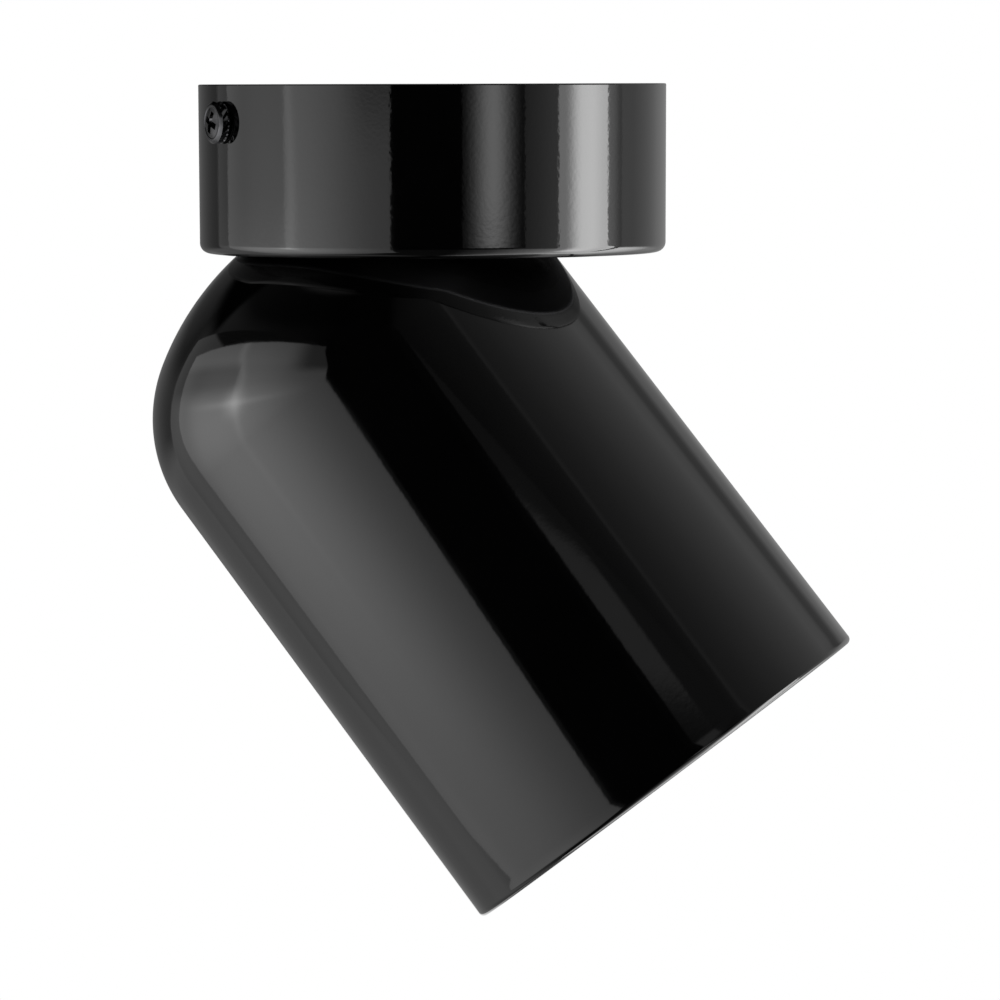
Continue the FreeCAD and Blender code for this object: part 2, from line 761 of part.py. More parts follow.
def make_yoke():
    """The steel yoke: a strip bent to an inverted U, its ends rounded about the pivot."""
    body = new_body("Yoke")
    inner = s.yoke_half_gap
    outer = yoke_outer_face
    high = s.yoke_height
    under = high - s.yoke_thickness
    outer_bend = s.yoke_bend_radius
    inner_bend = s.yoke_bend_radius - s.yoke_thickness
    corners = [
        (outer, ZERO),
        (outer, high - outer_bend),
        (outer - outer_bend, high),
        (outer_bend - outer, high),
        (-outer, high - outer_bend),
        (-outer, ZERO),
        (-inner, ZERO),
        (-inner, under - inner_bend),
        (inner_bend - inner, under),
        (inner - inner_bend, under),
        (inner, under - inner_bend),
        (inner, ZERO),
    ]
    sketch = new_sketch(body, "YZ_Plane")
    outline(sketch, corners, {1: outer_bend, 3: outer_bend, 7: -inner_bend, 9: -inner_bend})
    pad(body, sketch, s.yoke_width, both=True)
    sketch = new_sketch(body, "XZ_Plane")
    circle(sketch, s.yoke_width / 2)
    pad(body, sketch, outer * 2, both=True)
    sketch = new_sketch(body, "XZ_Plane")
    circle(sketch, s.yoke_width / 2 + s.cut_overrun)
    pocket(body, sketch, inner * 2, both=True)
    sketch = new_sketch(body, "XZ_Plane")
    circle(sketch, s.pivot_screw_radius + s.running_clearance)
    pocket(body, sketch, both=True)
    sketch = new_sketch(body, "XY_Plane")
    circle(sketch, stem_hole_radius)
    pocket(body, sketch)
    return keep(body, "yoke", "pivot")


def make_head_shell():
    """The die-cast head: dome about the pivot, knuckle, drafted tube, ring seat, stem slot and posts."""
    body = new_body("HeadShell")
    reach = s.crown_radius - s.knuckle_radius
    touch_radius = knuckle_centre_radius / reach * s.crown_radius
    touch_height = knuckle_centre_height / reach * s.crown_radius
    inner_crown = s.crown_radius - s.head_wall
    inner_knuckle = s.knuckle_radius - s.head_wall
    inner_touch_radius = knuckle_centre_radius / reach * inner_crown
    inner_touch_height = knuckle_centre_height / reach * inner_crown
    bore_at_seat = ring_seat_radius - s.ring_seat_step - bore_slope * s.ring_seat_depth
    corners = [
        (ZERO, inner_crown),
        (inner_touch_radius, inner_touch_height),
        (shoulder_radius - s.head_wall, knuckle_centre_height),
        (bore_at_seat, seat_height),
        (ring_seat_radius, seat_height),
        (ring_seat_radius, mouth_height),
        (mouth_radius, mouth_height),
        (shoulder_radius, knuckle_centre_height),
        (touch_radius, touch_height),
        (ZERO, s.crown_radius),
    ]
    arcs = {0: -inner_crown, 1: -inner_knuckle, 7: s.knuckle_radius, 8: s.crown_radius}
    revolve(body, corners, arcs)
    round_edges(body, s.lip_round, lambda edge: is_ring(edge, mouth_radius, mouth_height))

    post_low = -s.carrier_drop
    sketch = new_sketch(body, "XY_Plane", post_low)
    for azimuth in POST_AZIMUTHS:
        circle(sketch, s.post_radius, *around(post_offset, azimuth))
    pad(body, sketch, knuckle_centre_height - post_low)
    sketch = new_sketch(body, "XY_Plane", post_low)
    for azimuth in POST_AZIMUTHS:
        circle(sketch, s.small_screw_radius, *around(post_offset, azimuth))
    pocket(body, sketch, s.small_screw_length + s.cut_overrun)

    slot_half_width = s.stem_radius + s.slot_side_clearance
    sketch = new_sketch(body, "YZ_Plane")
    beyond = s.crown_radius + s.cut_overrun
    rectangle(sketch, -slot_half_width, slot_half_width, inner_crown * ROOT_SHARE, beyond)
    groove = body.newObject("PartDesign::Groove", "StemSlot")
    groove.Profile = sketch
    groove.ReferenceAxis = (sketch, ["H_Axis"])
    groove.setExpression("Angle", s.tilt_reach.text)
    for turn in (ZERO, s.tilt_reach):
        sketch = new_sketch(body, "XY_Plane", axis=(0, 1, 0), turn=turn)
        circle(sketch, slot_half_width)
        pocket(body, sketch)
    return keep(body, "head_shell", "head")


def make_carrier():
    """The lamp carrier: a steel disc with a hole for the lampholder and two ears up to the pivot."""
    body = new_body("LampCarrier")
    sketch = new_sketch(body, "XY_Plane", carrier_front)
    circle(sketch, bore_at_carrier - s.carrier_clearance)
    pad(body, sketch, s.carrier_thickness)
    sketch = new_sketch(body, "XZ_Plane")
    corners = [
        (-s.ear_radius, carrier_front),
        (s.ear_radius, carrier_front),
        (s.ear_radius, ZERO),
        (ZERO, s.ear_radius),
        (-s.ear_radius, ZERO),
    ]
    outline(sketch, corners, {2: s.ear_radius, 3: s.ear_radius})
    pad(body, sketch, ear_outer_face * 2, both=True)
    sketch = new_sketch(body, "XZ_Plane")
    side = s.ear_radius + s.cut_overrun
    rectangle(sketch, -side, side, -s.carrier_drop, side)
    pocket(body, sketch, ear_inner_face * 2, both=True)
    sketch = new_sketch(body, "XZ_Plane")
    circle(sketch, s.pivot_screw_radius + s.running_clearance)
    pocket(body, sketch, both=True)
    sketch = new_sketch(body, "XY_Plane")
    circle(sketch, s.holder_half_length + s.carrier_hole_clearance)
    for azimuth in POST_AZIMUTHS:
        circle(sketch, s.small_screw_radius + s.running_clearance, *around(post_offset, azimuth))
    for sign in (-1, 1):
        circle(sketch, s.small_screw_radius, foot_screw_offset * sign)
    pocket(body, sketch, forward=False)
    return keep(body, "lamp_carrier", "head")


def make_holder():
    """The ceramic lampholder with its two pin sockets, and the strap that holds it on the carrier."""
    body = new_body("Lampholder")
    long = s.holder_half_length
    wide = s.holder_half_width
    sketch = new_sketch(body, "XY_Plane", carrier_front)
    straight = long - wide
    corners = [
        (-straight, -wide),
        (straight, -wide),
        (long, ZERO),
        (straight, wide),
        (-straight, wide),
        (-long, ZERO),
    ]
    outline(sketch, corners, {1: wide, 2: wide, 4: wide, 5: wide})
    pad(body, sketch, s.holder_height)
    sketch = new_sketch(body, "XY_Plane", carrier_front)
    for side in (-1, 1):
        circle(sketch, s.holder_pin_hole_radius, s.pin_spacing / 2 * side)
    pocket(body, sketch, s.holder_pin_hole_depth)
    sketch = new_sketch(body, "XY_Plane", holder_back)
    for side in (-1, 1):
        circle(sketch, s.core_radius + s.loose_clearance, s.pole_pitch / 2 * side)
        circle(sketch, s.small_screw_radius, s.holder_screw_offset * side)
    pocket(body, sketch, s.holder_screw_length, forward=False)
    keep(body, "lampholder", "head")

    strap = new_body("HolderBracket")
    thick = s.bracket_thickness
    leg_outer = bracket_leg_outer
    leg_inner = leg_outer - thick
    foot_end = leg_outer + s.bracket_foot_length
    foot_low = -s.carrier_drop
    high = holder_back + thick
    corners = [
        (-leg_outer, high),
        (-leg_outer, foot_low + thick),
        (-foot_end, foot_low + thick),
        (-foot_end, foot_low),
        (-leg_inner, foot_low),
        (-leg_inner, holder_back),
        (leg_inner, holder_back),
        (leg_inner, foot_low),
        (foot_end, foot_low),
        (foot_end, foot_low + thick),
        (leg_outer, foot_low + thick),
        (leg_outer, high),
    ]
    sketch = new_sketch(strap, "XZ_Plane")
    outline(sketch, corners)
    pad(strap, sketch, s.bracket_width, both=True)
    sketch = new_sketch(strap, "XY_Plane", high)
    circle(sketch, s.bracket_hole_radius)
    for side in (-1, 1):
        circle(sketch, s.small_screw_radius + s.running_clearance, s.holder_screw_offset * side)
        circle(sketch, s.small_screw_radius + s.running_clearance, foot_screw_offset * side)
    pocket(strap, sketch, forward=False)
    keep(strap, "holder_bracket", "head")

    slim = s.small_screw_radius - s.running_clearance
    body = screw("HolderScrew", s.small_head_radius, s.small_head_height, slim, s.holder_screw_length)
    place(body, s.holder_screw_offset, ZERO, high)
    pair(body, (1, 0, 0), "holder_screws", "head")
    body = screw("FootScrew", s.small_head_radius, s.small_head_height, slim, s.foot_screw_length)
    place(body, foot_screw_offset, ZERO, foot_low + thick)
    pair(body, (1, 0, 0), "bracket_screws", "head")
    group = doc.addObject("Part::Compound", "CarrierScrews")
    screws = []
    for azimuth in POST_AZIMUTHS:
        body = screw("CarrierScrew", s.small_head_radius, s.small_head_height, slim, s.small_screw_length)
        place(body, *around(post_offset, azimuth), carrier_front, (1, 0, 0), HALF_TURN)
        screws.append(body)
    group.Links = screws
    keep(group, "carrier_screws", "head")


def make_pivot():
    """What the head tilts on: on each side a screw, a friction washer and a lock nut."""
    shank = yoke_outer_face - ear_inner_face + s.pivot_nut_thickness + s.pivot_screw_spare
    body = screw("PivotScrew", s.pivot_head_radius, s.pivot_head_height, s.pivot_screw_radius, shank)
    place(body, ZERO, yoke_outer_face, ZERO, (1, 0, 0), -QUARTER_TURN)
    pair(body, (0, 1, 0), "pivot_screws", "head")
    bore = s.pivot_screw_radius + s.running_clearance
    body = washer("FrictionWasher", s.friction_washer_radius, bore, ZERO, s.friction_washer_thickness)
    place(body, ZERO, ear_outer_face, ZERO, (1, 0, 0), -QUARTER_TURN)
    pair(body, (0, 1, 0), "friction_washers", "head")
    body = nut("PivotNut", s.pivot_nut_flats, bore, ZERO, s.pivot_nut_thickness)
    place(body, ZERO, ear_inner_face - s.pivot_nut_thickness, ZERO, (1, 0, 0), -QUARTER_TURN)
    pair(body, (0, 1, 0), "pivot_nuts", "head")


def make_lamp():
    """The twist-lock reflector lamp: neck, flared body, front lens and two headed pins."""
    body = new_body("LampBody")
    neck_end = carrier_front - s.lamp_neck_length
    flare_end = neck_end - s.lamp_flare_length
    rim_inner = s.lamp_radius - s.lamp_rim_width
    lens_seat = lamp_front + s.lens_inset + s.lens_thickness
    corners = [
        (ZERO, carrier_front),
        (ZERO, lens_seat),
        (rim_inner, lens_seat),
        (rim_inner, lamp_front),
        (s.lamp_radius, lamp_front),
        (s.lamp_radius, flare_end),
        (s.lamp_flare_start_radius, neck_end),
        (s.lamp_neck_radius, neck_end),
        (s.lamp_neck_radius, carrier_front),
    ]
    revolve(body, corners, {5: s.lamp_flare_arc_radius})
    keep(body, "lamp_body", "head")

    lens = new_body("LampLens")
    sketch = new_sketch(lens, "XY_Plane", lamp_front + s.lens_inset)
    circle(sketch, rim_inner - s.running_clearance)
    pad(lens, sketch, s.lens_thickness)
    keep(lens, "lamp_lens", "head")

    pin = new_body("LampPin")
    corners = [
        (ZERO, ZERO),
        (s.pin_radius, ZERO),
        (s.pin_radius, s.pin_length - s.pin_head_length),
        (s.pin_head_radius, s.pin_length - s.pin_head_length),
        (s.pin_head_radius, s.pin_length),
        (ZERO, s.pin_length),
    ]
    revolve(pin, corners)
    place(pin, s.pin_spacing / 2, ZERO, carrier_front)
    pair(pin, (1, 0, 0), "lamp_pins", "head")


def make_glare_ring():
    """The spun ring round the lamp: a flange on the seat, a cone inwards and a collar round the lamp."""
    body = new_body("GlareRing")
    outer = ring_seat_radius - s.running_clearance
    inner = s.lamp_radius + s.ring_lamp_gap
    cone_outer = outer - s.ring_flange_width
    cone_top = seat_height - s.ring_thickness + s.ring_cone_rise
    collar_top = cone_top + s.ring_collar_length
    corners = [
        (outer, seat_height),
        (cone_outer, seat_height),
        (inner + s.ring_thickness, cone_top + s.ring_thickness),
        (inner + s.ring_thickness, collar_top),
        (inner, collar_top),
        (inner, cone_top),
        (cone_outer, seat_height - s.ring_thickness),
        (outer, seat_height - s.ring_thickness),
    ]
    revolve(body, corners)
    return keep(body, "glare_ring", "head")


def from_head(x, y, z):
    """A point of the leaning head's frame, in the row's frame, as a plain vector."""
    lean = math.radians(s.rest_tilt.number)
    across = x * math.cos(lean) - z * math.sin(lean)
    up = x * math.sin(lean) + z * math.cos(lean)
    return Vector(across, y, up - pivot_depth.number)


def tube(spots, radius):
    """A round tube along straight runs joined by tangent arcs, each as large as its two runs allow."""
    edges = []
    bends = []
    start = spots[0]
    for before, corner, after in zip(spots, spots[1:], spots[2:]):
        half_turn = (corner - before).getAngle(after - corner) / 2
        trim = BEND_SHARE * min(before.distanceToPoint(corner), corner.distanceToPoint(after))
        bend = trim / math.tan(half_turn)
        first = corner + (before - corner).normalize() * trim
        last = corner + (after - corner).normalize() * trim
        inwards = ((first + last) * 0.5 - corner).normalize()
        middle = corner + inwards * bend * (1 / math.cos(half_turn) - 1)
        edges.append(Part.LineSegment(start, first).toShape())
        edges.append(Part.Arc(first, middle, last).toShape())
        bends.append(round(bend, 1))
        start = last
    edges.append(Part.LineSegment(start, spots[-1]).toShape())
    path = Part.Wire(edges)
    section = Part.Wire([Part.makeCircle(radius, spots[0], spots[1] - spots[0])])
    solid = path.makePipeShell([section], True, False)
    print("core bends", bends, "volume share", round(solid.Volume / (math.pi * radius**2 * path.Length), 3))
    return solid


def core_group(label, cores):
    """Several insulated cores as one sub-part."""
    item = doc.addObject("Part::Feature", "Cores")
    item.Shape = Part.makeCompound(cores)
    item.Label = label
    pieces.append(item)


def make_stem_cores(starts, top, bottom):
    """The three cores' straight middle, in the stem."""
    radius = s.core_radius.number
    up = Vector(0, 0, 1)
    cores = [Part.makeCylinder(radius, top - bottom, start + up * bottom, up) for start in starts]
    core_group("stem_cores", cores)


def make_terminal_cores(starts, top):
    """From the stem up under the plate, over to the terminal block and into its holes."""
    near = block_near.number
    cores = []
    for index, start in enumerate(starts):
        pole = s.pole_pitch.number * (index - (POLES - 1) / 2)
        spots = [start + Vector(0, 0, top)]
        for across, along, down in TERMINAL_ROUTE_SHARES:
            x = start.x + (pole - start.x) * across
            y = start.y + (near - start.y) * along
            spots.append(Vector(x, y, (block_top - s.pole_drop * down).number))
        cores.append(tube(spots, s.core_radius.number))
    core_group("terminal_cores", cores)


def make_holder_cores(starts, bottom):
    """From the stem to the lampholder's two holes, and the earth core to a foot screw of the bracket."""
    lead = Vector(0, 0, s.core_lead.number)
    back = holder_back.number
    socket = s.pole_pitch.number / 2
    cores = []
    for start, x in ((starts[0], -socket), (starts[2], socket)):
        leave = start + Vector(0, 0, bottom)
        low = from_head(x, 0, back + lead.z)
        waist = (leave - lead + low) * 0.5 - Vector(s.core_radius.number, 0, 0)
        spots = [leave, leave - lead, waist, low, from_head(x, 0, back - s.core_entry.number)]
        cores.append(tube(spots, s.core_radius.number))
    foot = foot_screw_offset.number
    foot_top = (s.bracket_thickness - s.carrier_drop).number
    side = (s.bracket_width / 2 + s.core_radius * 2).number
    leave = starts[1] + Vector(0, 0, bottom)
    spots = [leave, leave - lead]
    for out, aside, up in EARTH_ROUTE_SHARES:
        spots.append(from_head(foot * out, side * aside, foot_top + (back - foot_top) * up))
    beside_screw = (s.small_head_radius + s.core_radius).number
    spots.append(from_head(foot, beside_screw, foot_top + (s.core_radius + s.loose_clearance).number))
    cores.append(tube(spots, s.core_radius.number))
    core_group("holder_cores", cores)


def make_cores():
    """The three cores of the supply, from the terminal block to the lampholder."""
    bundle = s.core_bundle_radius.number
    top = (stem_top - s.core_radius).number
    bottom = (stem_bottom + s.core_radius).number
    starts = [Vector(bundle * math.cos(a), bundle * math.sin(a), 0) for a in map(math.radians, CORE_AZIMUTHS)]
    make_stem_cores(starts, top, bottom)
    make_terminal_cores(starts, top)
    make_holder_cores(starts, bottom)


make_ceiling_plate()
make_canopy()
make_thumbscrews()
make_terminal_block()
make_earth_screw()
make_stem_stack()
make_yoke()
make_head_shell()
make_carrier()
make_holder()
make_pivot()
make_lamp()
make_glare_ring()
make_cores()
doc.recompute()

faults = [item.Name for item in doc.Objects if {"Invalid", "Error"} & set(item.State)]
for item in pieces:
    if item.Shape.isNull() or not item.Shape.isValid() or not item.Shape.Solids:
        faults.append(item.Label)
if faults:
    raise RuntimeError(f"these failed: {faults}")

os.makedirs("parts", exist_ok=True)
for item in pieces:
    item.Shape.exportStep(f"parts/{item.Label}.step")
    print(item.Label, len(item.Shape.Solids), round(item.Shape.Volume, 1))
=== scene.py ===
# %% [markdown]
# # A ceiling spotlight, dressed for the studio
# The object is a small surface-mounted spotlight: a round canopy under the ceiling, and a cylindrical head
# whose domed end nests in a dish in the canopy's underside. The construction model comes in first and is
# the fixed frame. Everything made here sits where that frame says, in metres, with the ceiling at zero.

import json
from math import asin, atan, atan2, cos, degrees, pi, radians, sin, sqrt

import bpy
import bmesh
from mathutils import Matrix, Vector

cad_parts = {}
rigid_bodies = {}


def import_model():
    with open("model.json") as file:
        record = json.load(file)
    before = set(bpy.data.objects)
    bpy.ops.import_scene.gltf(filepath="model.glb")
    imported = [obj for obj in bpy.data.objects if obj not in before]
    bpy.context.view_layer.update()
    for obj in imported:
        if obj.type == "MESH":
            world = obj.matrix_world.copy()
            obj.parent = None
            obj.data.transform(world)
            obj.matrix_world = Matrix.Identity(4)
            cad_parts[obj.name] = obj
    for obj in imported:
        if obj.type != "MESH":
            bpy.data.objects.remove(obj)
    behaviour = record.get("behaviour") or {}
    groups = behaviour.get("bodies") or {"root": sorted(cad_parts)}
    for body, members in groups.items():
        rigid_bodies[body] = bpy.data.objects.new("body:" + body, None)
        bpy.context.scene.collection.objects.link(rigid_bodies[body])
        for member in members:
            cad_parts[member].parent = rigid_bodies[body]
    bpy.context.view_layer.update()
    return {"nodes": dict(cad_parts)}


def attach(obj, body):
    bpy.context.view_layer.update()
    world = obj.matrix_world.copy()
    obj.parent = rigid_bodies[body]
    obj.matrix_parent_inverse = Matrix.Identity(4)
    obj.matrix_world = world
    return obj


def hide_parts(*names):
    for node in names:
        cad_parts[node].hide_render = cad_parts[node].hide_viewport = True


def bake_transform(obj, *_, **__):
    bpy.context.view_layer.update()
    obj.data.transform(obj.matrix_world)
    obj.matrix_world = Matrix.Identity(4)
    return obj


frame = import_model()
MM = 0.001

# %% [markdown]
# ## The camera
# The photograph was taken with a long lens at the height of the ceiling plane, from a little to the right
# of the plane in which the head leans. A long lens flattens the two rims of the canopy to almost straight
# lines. The camera could be placed by eye, but here its distance, aim and slight roll come from a fit to
# the object's outline.

# %% Place the camera
LEAN_AZIMUTH = radians(10.8)
CAMERA_DISTANCE = 1.080
PHOTO_PIXELS = 1000
FOCAL_PIXELS = 5598.0
AIM_PIXEL = (433.7, 83.5)
ROLL = radians(-0.17)

to_right = Vector((cos(LEAN_AZIMUTH), sin(LEAN_AZIMUTH), 0))
to_back = Vector((-sin(LEAN_AZIMUTH), cos(LEAN_AZIMUTH), 0))
to_top = Vector((0, 0, 1))


def aim_axes():
    """The camera's right, up and forward directions."""
    middle = PHOTO_PIXELS / 2
    yaw = atan((AIM_PIXEL[0] - middle) / FOCAL_PIXELS)
    pitch = atan((AIM_PIXEL[1] - middle) / FOCAL_PIXELS * cos(yaw))
    level = to_back * cos(yaw) - to_right * sin(yaw)
    across = to_right * cos(yaw) + to_back * sin(yaw)
    forward = level * cos(pitch) + to_top * sin(pitch)
    upward = to_top * cos(pitch) - level * sin(pitch)
    right = across * cos(ROLL) + upward * sin(ROLL)
    return right, upward * cos(ROLL) - across * sin(ROLL), forward


camera_data = bpy.data.cameras.new("camera")
camera_data.lens = FOCAL_PIXELS / PHOTO_PIXELS * camera_data.sensor_width
camera = bpy.data.objects.new("camera", camera_data)
bpy.context.scene.collection.objects.link(camera)
right, upward, forward = aim_axes()
turn = Matrix((right, upward, -forward)).transposed()
camera.matrix_world = Matrix.Translation(-to_back * CAMERA_DISTANCE) @ turn.to_4x4()
bpy.context.scene.camera = camera
bpy.context.scene.view_settings.view_transform = "Standard"
print("lens", round(camera_data.lens, 1), "mm")

# %% [markdown]
# ## Shader sums written as sums
# A procedural finish is a small calculation. Nodes can be placed and linked by hand, but the sums are
# easier to read as Python. `Signal` wraps a node's output, so that `1 - mask` adds the Math node it needs.
# `Bench` gives every other kind of node through a single method, and `Finish` is the bench of one material.

# %% Signals and finishes
class Signal:
    """One number, colour, vector or geometry that flows through a tree of nodes."""

    def __init__(self, tree, socket):
        self.tree = tree
        self.socket = socket

    def maths(self, operation, *others, swapped=False):
        """This number and the others through one Math node, in this order or swapped."""
        node = self.tree.nodes.new("ShaderNodeMath")
        node.operation = operation
        values = (self, *others)
        for slot, value in zip(node.inputs, reversed(values) if swapped else values):
            plug(self.tree, slot, value)
        return Signal(self.tree, node.outputs[0])

    def __add__(self, other):
        return self.maths("ADD", other)

    def __sub__(self, other):
        return self.maths("SUBTRACT", other)

    def __rsub__(self, other):
        return self.maths("SUBTRACT", other, swapped=True)

    def __mul__(self, other):
        return self.maths("MULTIPLY", other)

    def __truediv__(self, other):
        return self.maths("DIVIDE", other)

    def __pow__(self, other):
        return self.maths("POWER", other)

    def __neg__(self):
        return self.maths("MULTIPLY", -1.0)


def plug(tree, slot, value):
    """Links a signal into a slot, or writes a plain value there."""
    if isinstance(value, Signal):
        tree.links.new(value.socket, slot)
    else:
        slot.default_value = value


class Bench:
    """Places nodes in one tree."""

    def node(self, kind, inputs=None, output=0, **settings):
        """A node of any kind, with the values or signals of its sockets and its settings by name."""
        made = self.tree.nodes.new(kind)
        for name, value in settings.items():
            setattr(made, name, value)
        for name, value in (inputs or {}).items():
            plug(self.tree, made.inputs[name], value)
        return Signal(self.tree, made.outputs[output])

    def ramp(self, signal, low, high, start=0.0, end=1.0):
        """A smooth step from start to end while the signal goes from low to high."""
        sizes = {"Value": signal, "From Min": low, "From Max": high, "To Min": start, "To Max": end}
        return self.node("ShaderNodeMapRange", sizes, interpolation_type="SMOOTHSTEP")

    def profile(self, signal, stops):
        """Straight runs between stops, each a value of the signal and its result, from 0 to 1."""
        low, high = stops[0][0], stops[-1][0]
        share = self.node("ShaderNodeMapRange", {"Value": signal, "From Min": low, "From Max": high})
        ramp = self.node("ShaderNodeValToRGB", {"Fac": share})
        line = ramp.socket.node.color_ramp
        line.elements.remove(line.elements[1])
        for place, value in stops:
            stop = line.elements.new((place - low) / (high - low))
            stop.color = (value, value, value, 1)
        line.elements.remove(line.elements[0])
        return ramp * 1.0

    def parts(self, vector):
        """The three numbers of a vector."""
        split = self.node("ShaderNodeSeparateXYZ", {"Vector": vector})
        return [Signal(self.tree, socket) for socket in split.socket.node.outputs]

    def vector(self, x, y, z):
        return self.node("ShaderNodeCombineXYZ", {"X": x, "Y": y, "Z": z})

    def vector_maths(self, operation, *vectors, output=0):
        """The vector that an operation gives, or with output=1 its number."""
        return self.node("ShaderNodeVectorMath", dict(enumerate(vectors)), output, operation=operation)


class Finish(Bench):
    """One material or world and its node tree."""

    def __init__(self, name, owner=None):
        self.owner = owner or bpy.data.materials.new(name)
        self.owner.use_nodes = True
        self.tree = self.owner.node_tree
        self.tree.nodes.clear()

    def coordinates(self):
        """Where a point is in its object's own frame."""
        return self.node("ShaderNodeTexCoord", output=3)

    def noise(self, scale, detail=3.0, roughness=0.55, stretch=(1, 1, 1)):
        spot = self.node("ShaderNodeMapping", {"Vector": self.coordinates(), "Scale": stretch})
        sizes = {"Vector": spot, "Scale": scale, "Detail": detail, "Roughness": roughness}
        return self.node("ShaderNodeTexNoise", sizes)

    def blend(self, share, low, high):
        """A colour between two colours."""
        return self.node("ShaderNodeMix", {0: share, 6: low, 7: high}, 2, data_type="RGBA")

    def bump(self, height, depth, strength):
        return self.node("ShaderNodeBump", {"Height": height, "Distance": depth, "Strength": strength})

    def surface(self, **sockets):
        """The principled shader, its sockets given by their names with underscores for spaces."""
        inputs = {name.replace("_", " "): value for name, value in sockets.items()}
        self.close(self.node("ShaderNodeBsdfPrincipled", inputs))
        return self.owner

    def close(self, shader, kind="ShaderNodeOutputMaterial"):
        plug(self.tree, self.tree.nodes.new(kind).inputs["Surface"], shader)


print("shader bench ready")

# %% [markdown]
# ## The studio
# Gloss black paint shows nothing but its surroundings, so the studio is half of the likeness. The
# photograph's tent has a tall soft panel close by on the left, a small bright panel on the right, a slim
# soft strip, and black cards in front. They stand round the object as stage cards that only reflections
# see. Broad soft lamps light what isn't glossy, at a plain level, and the backdrop is white to the camera,
# to reflections and through glass.

# %% The white backdrop and the floor
WHITE = (1, 1, 1, 1)
DAYLIGHT = 0.55
SEEN_BY = ("Camera", "Glossy", "Transmission")
world = bpy.data.worlds.new("backdrop")
bpy.context.scene.world = world
sky = Finish("backdrop", world)
seen = [sky.node("ShaderNodeLightPath", output=f"Is {kind} Ray") for kind in SEEN_BY]
backdrop_seen = seen[0].maths("MAXIMUM", seen[1].maths("MAXIMUM", seen[2]))
backdrop_light = {"Color": WHITE, "Strength": backdrop_seen * (1 - DAYLIGHT) + DAYLIGHT}
sky.close(sky.node("ShaderNodeBackground", backdrop_light), "ShaderNodeOutputWorld")

FLOOR_DEPTH, FLOOR_RADIUS = 1.7, 4.0


def mesh_of(name, spots, faces):
    mesh = bpy.data.meshes.new(name)
    mesh.from_pydata(spots, [], faces)
    return mesh


def disc(name, radius, height, sides=96):
    """A flat round mesh about the vertical axis."""
    angles = [2 * pi * i / sides for i in range(sides)]
    rim = [(radius * cos(angle), radius * sin(angle), height) for angle in angles]
    return mesh_of(name, [(0, 0, height)] + rim, [(0, 1 + i, 1 + (i + 1) % sides) for i in range(sides)])


def add_object(name, mesh):
    item = bpy.data.objects.new(name, mesh)
    bpy.context.scene.collection.objects.link(item)
    return item


floor = add_object("floor", disc("floor", FLOOR_RADIUS, -FLOOR_DEPTH))
paper = Finish("pale paper")
spot = paper.vector_maths("MULTIPLY", paper.coordinates(), (1, 1, 0))
away = paper.vector_maths("LENGTH", spot, output=1)
matte = paper.node("ShaderNodeBsdfDiffuse", {"Color": (0.86, 0.86, 0.85, 1)})
glow = paper.node("ShaderNodeEmission", {"Color": WHITE, "Strength": 1.0})
seen_directly = paper.node("ShaderNodeLightPath", output="Is Camera Ray") * 0.5
far_off = paper.ramp(away, 1.0, FLOOR_RADIUS * 0.95)
white_share = far_off.maths("MAXIMUM", seen_directly)
paper.close(paper.node("ShaderNodeMixShader", {0: white_share, 1: matte, 2: glow}))
floor.data.materials.append(paper.owner)
floor.visible_glossy = False
print("backdrop:", world.name, "floor:", floor.name)

# %% [markdown]
# The cards are placed by the direction from the object to the camera. `card_frame` turns a bearing, in
# degrees to the right of the camera, into the direction out to the card and the direction along it. Their
# brightness is a procedural glow, brightest where the lamp behind the cloth is, with the faint cross of the
# panel's frame. In its sums `u` runs to the right on the card and `v` upwards, in millimetres, and the
# numbers beside them are places and widths on the card, or shares of its light.

# %% The cards that the gloss paint reflects
def card_frame(bearing):
    """The outward direction of a card at a bearing, and the direction along it to the right."""
    angle = radians(bearing)
    outward = to_right * sin(angle) - to_back * cos(angle)
    along = to_right * cos(angle) + to_back * sin(angle)
    return outward, along


def only_reflected(item):
    """Hides an object from everything but reflections."""
    for flag in ("visible_camera", "visible_diffuse", "visible_shadow", "visible_transmission"):
        setattr(item, flag, False)


def card(name, bearing, distance, left, right_end, low, high):
    """A flat card that faces the object, from left to right_end along it and from low to high."""
    outward, along = card_frame(bearing)
    corners = ((left, low), (left, high), (right_end, high), (right_end, low))
    spots = [outward * distance + along * u + to_top * z for u, z in corners]
    mesh = mesh_of(name, spots, [(0, 1, 2, 3)])
    uv = mesh.uv_layers.new(name="millimetres")
    for loop, (u, z) in zip(uv.data, corners):
        loop.uv = (u / MM, z / MM)
    item = add_object(name, mesh)
    only_reflected(item)
    return item


def gauss(distance, width):
    """A bell curve of a signal."""
    share = distance / width
    return (-(share * share)).maths("EXPONENT")


def card_coordinates(finish):
    return finish.parts(finish.node("ShaderNodeUVMap", uv_map="millimetres"))[:2]


def card_glow(item, finish, strength):
    finish.close(finish.node("ShaderNodeEmission", {"Color": WHITE, "Strength": strength}))
    item.data.materials.append(finish.owner)


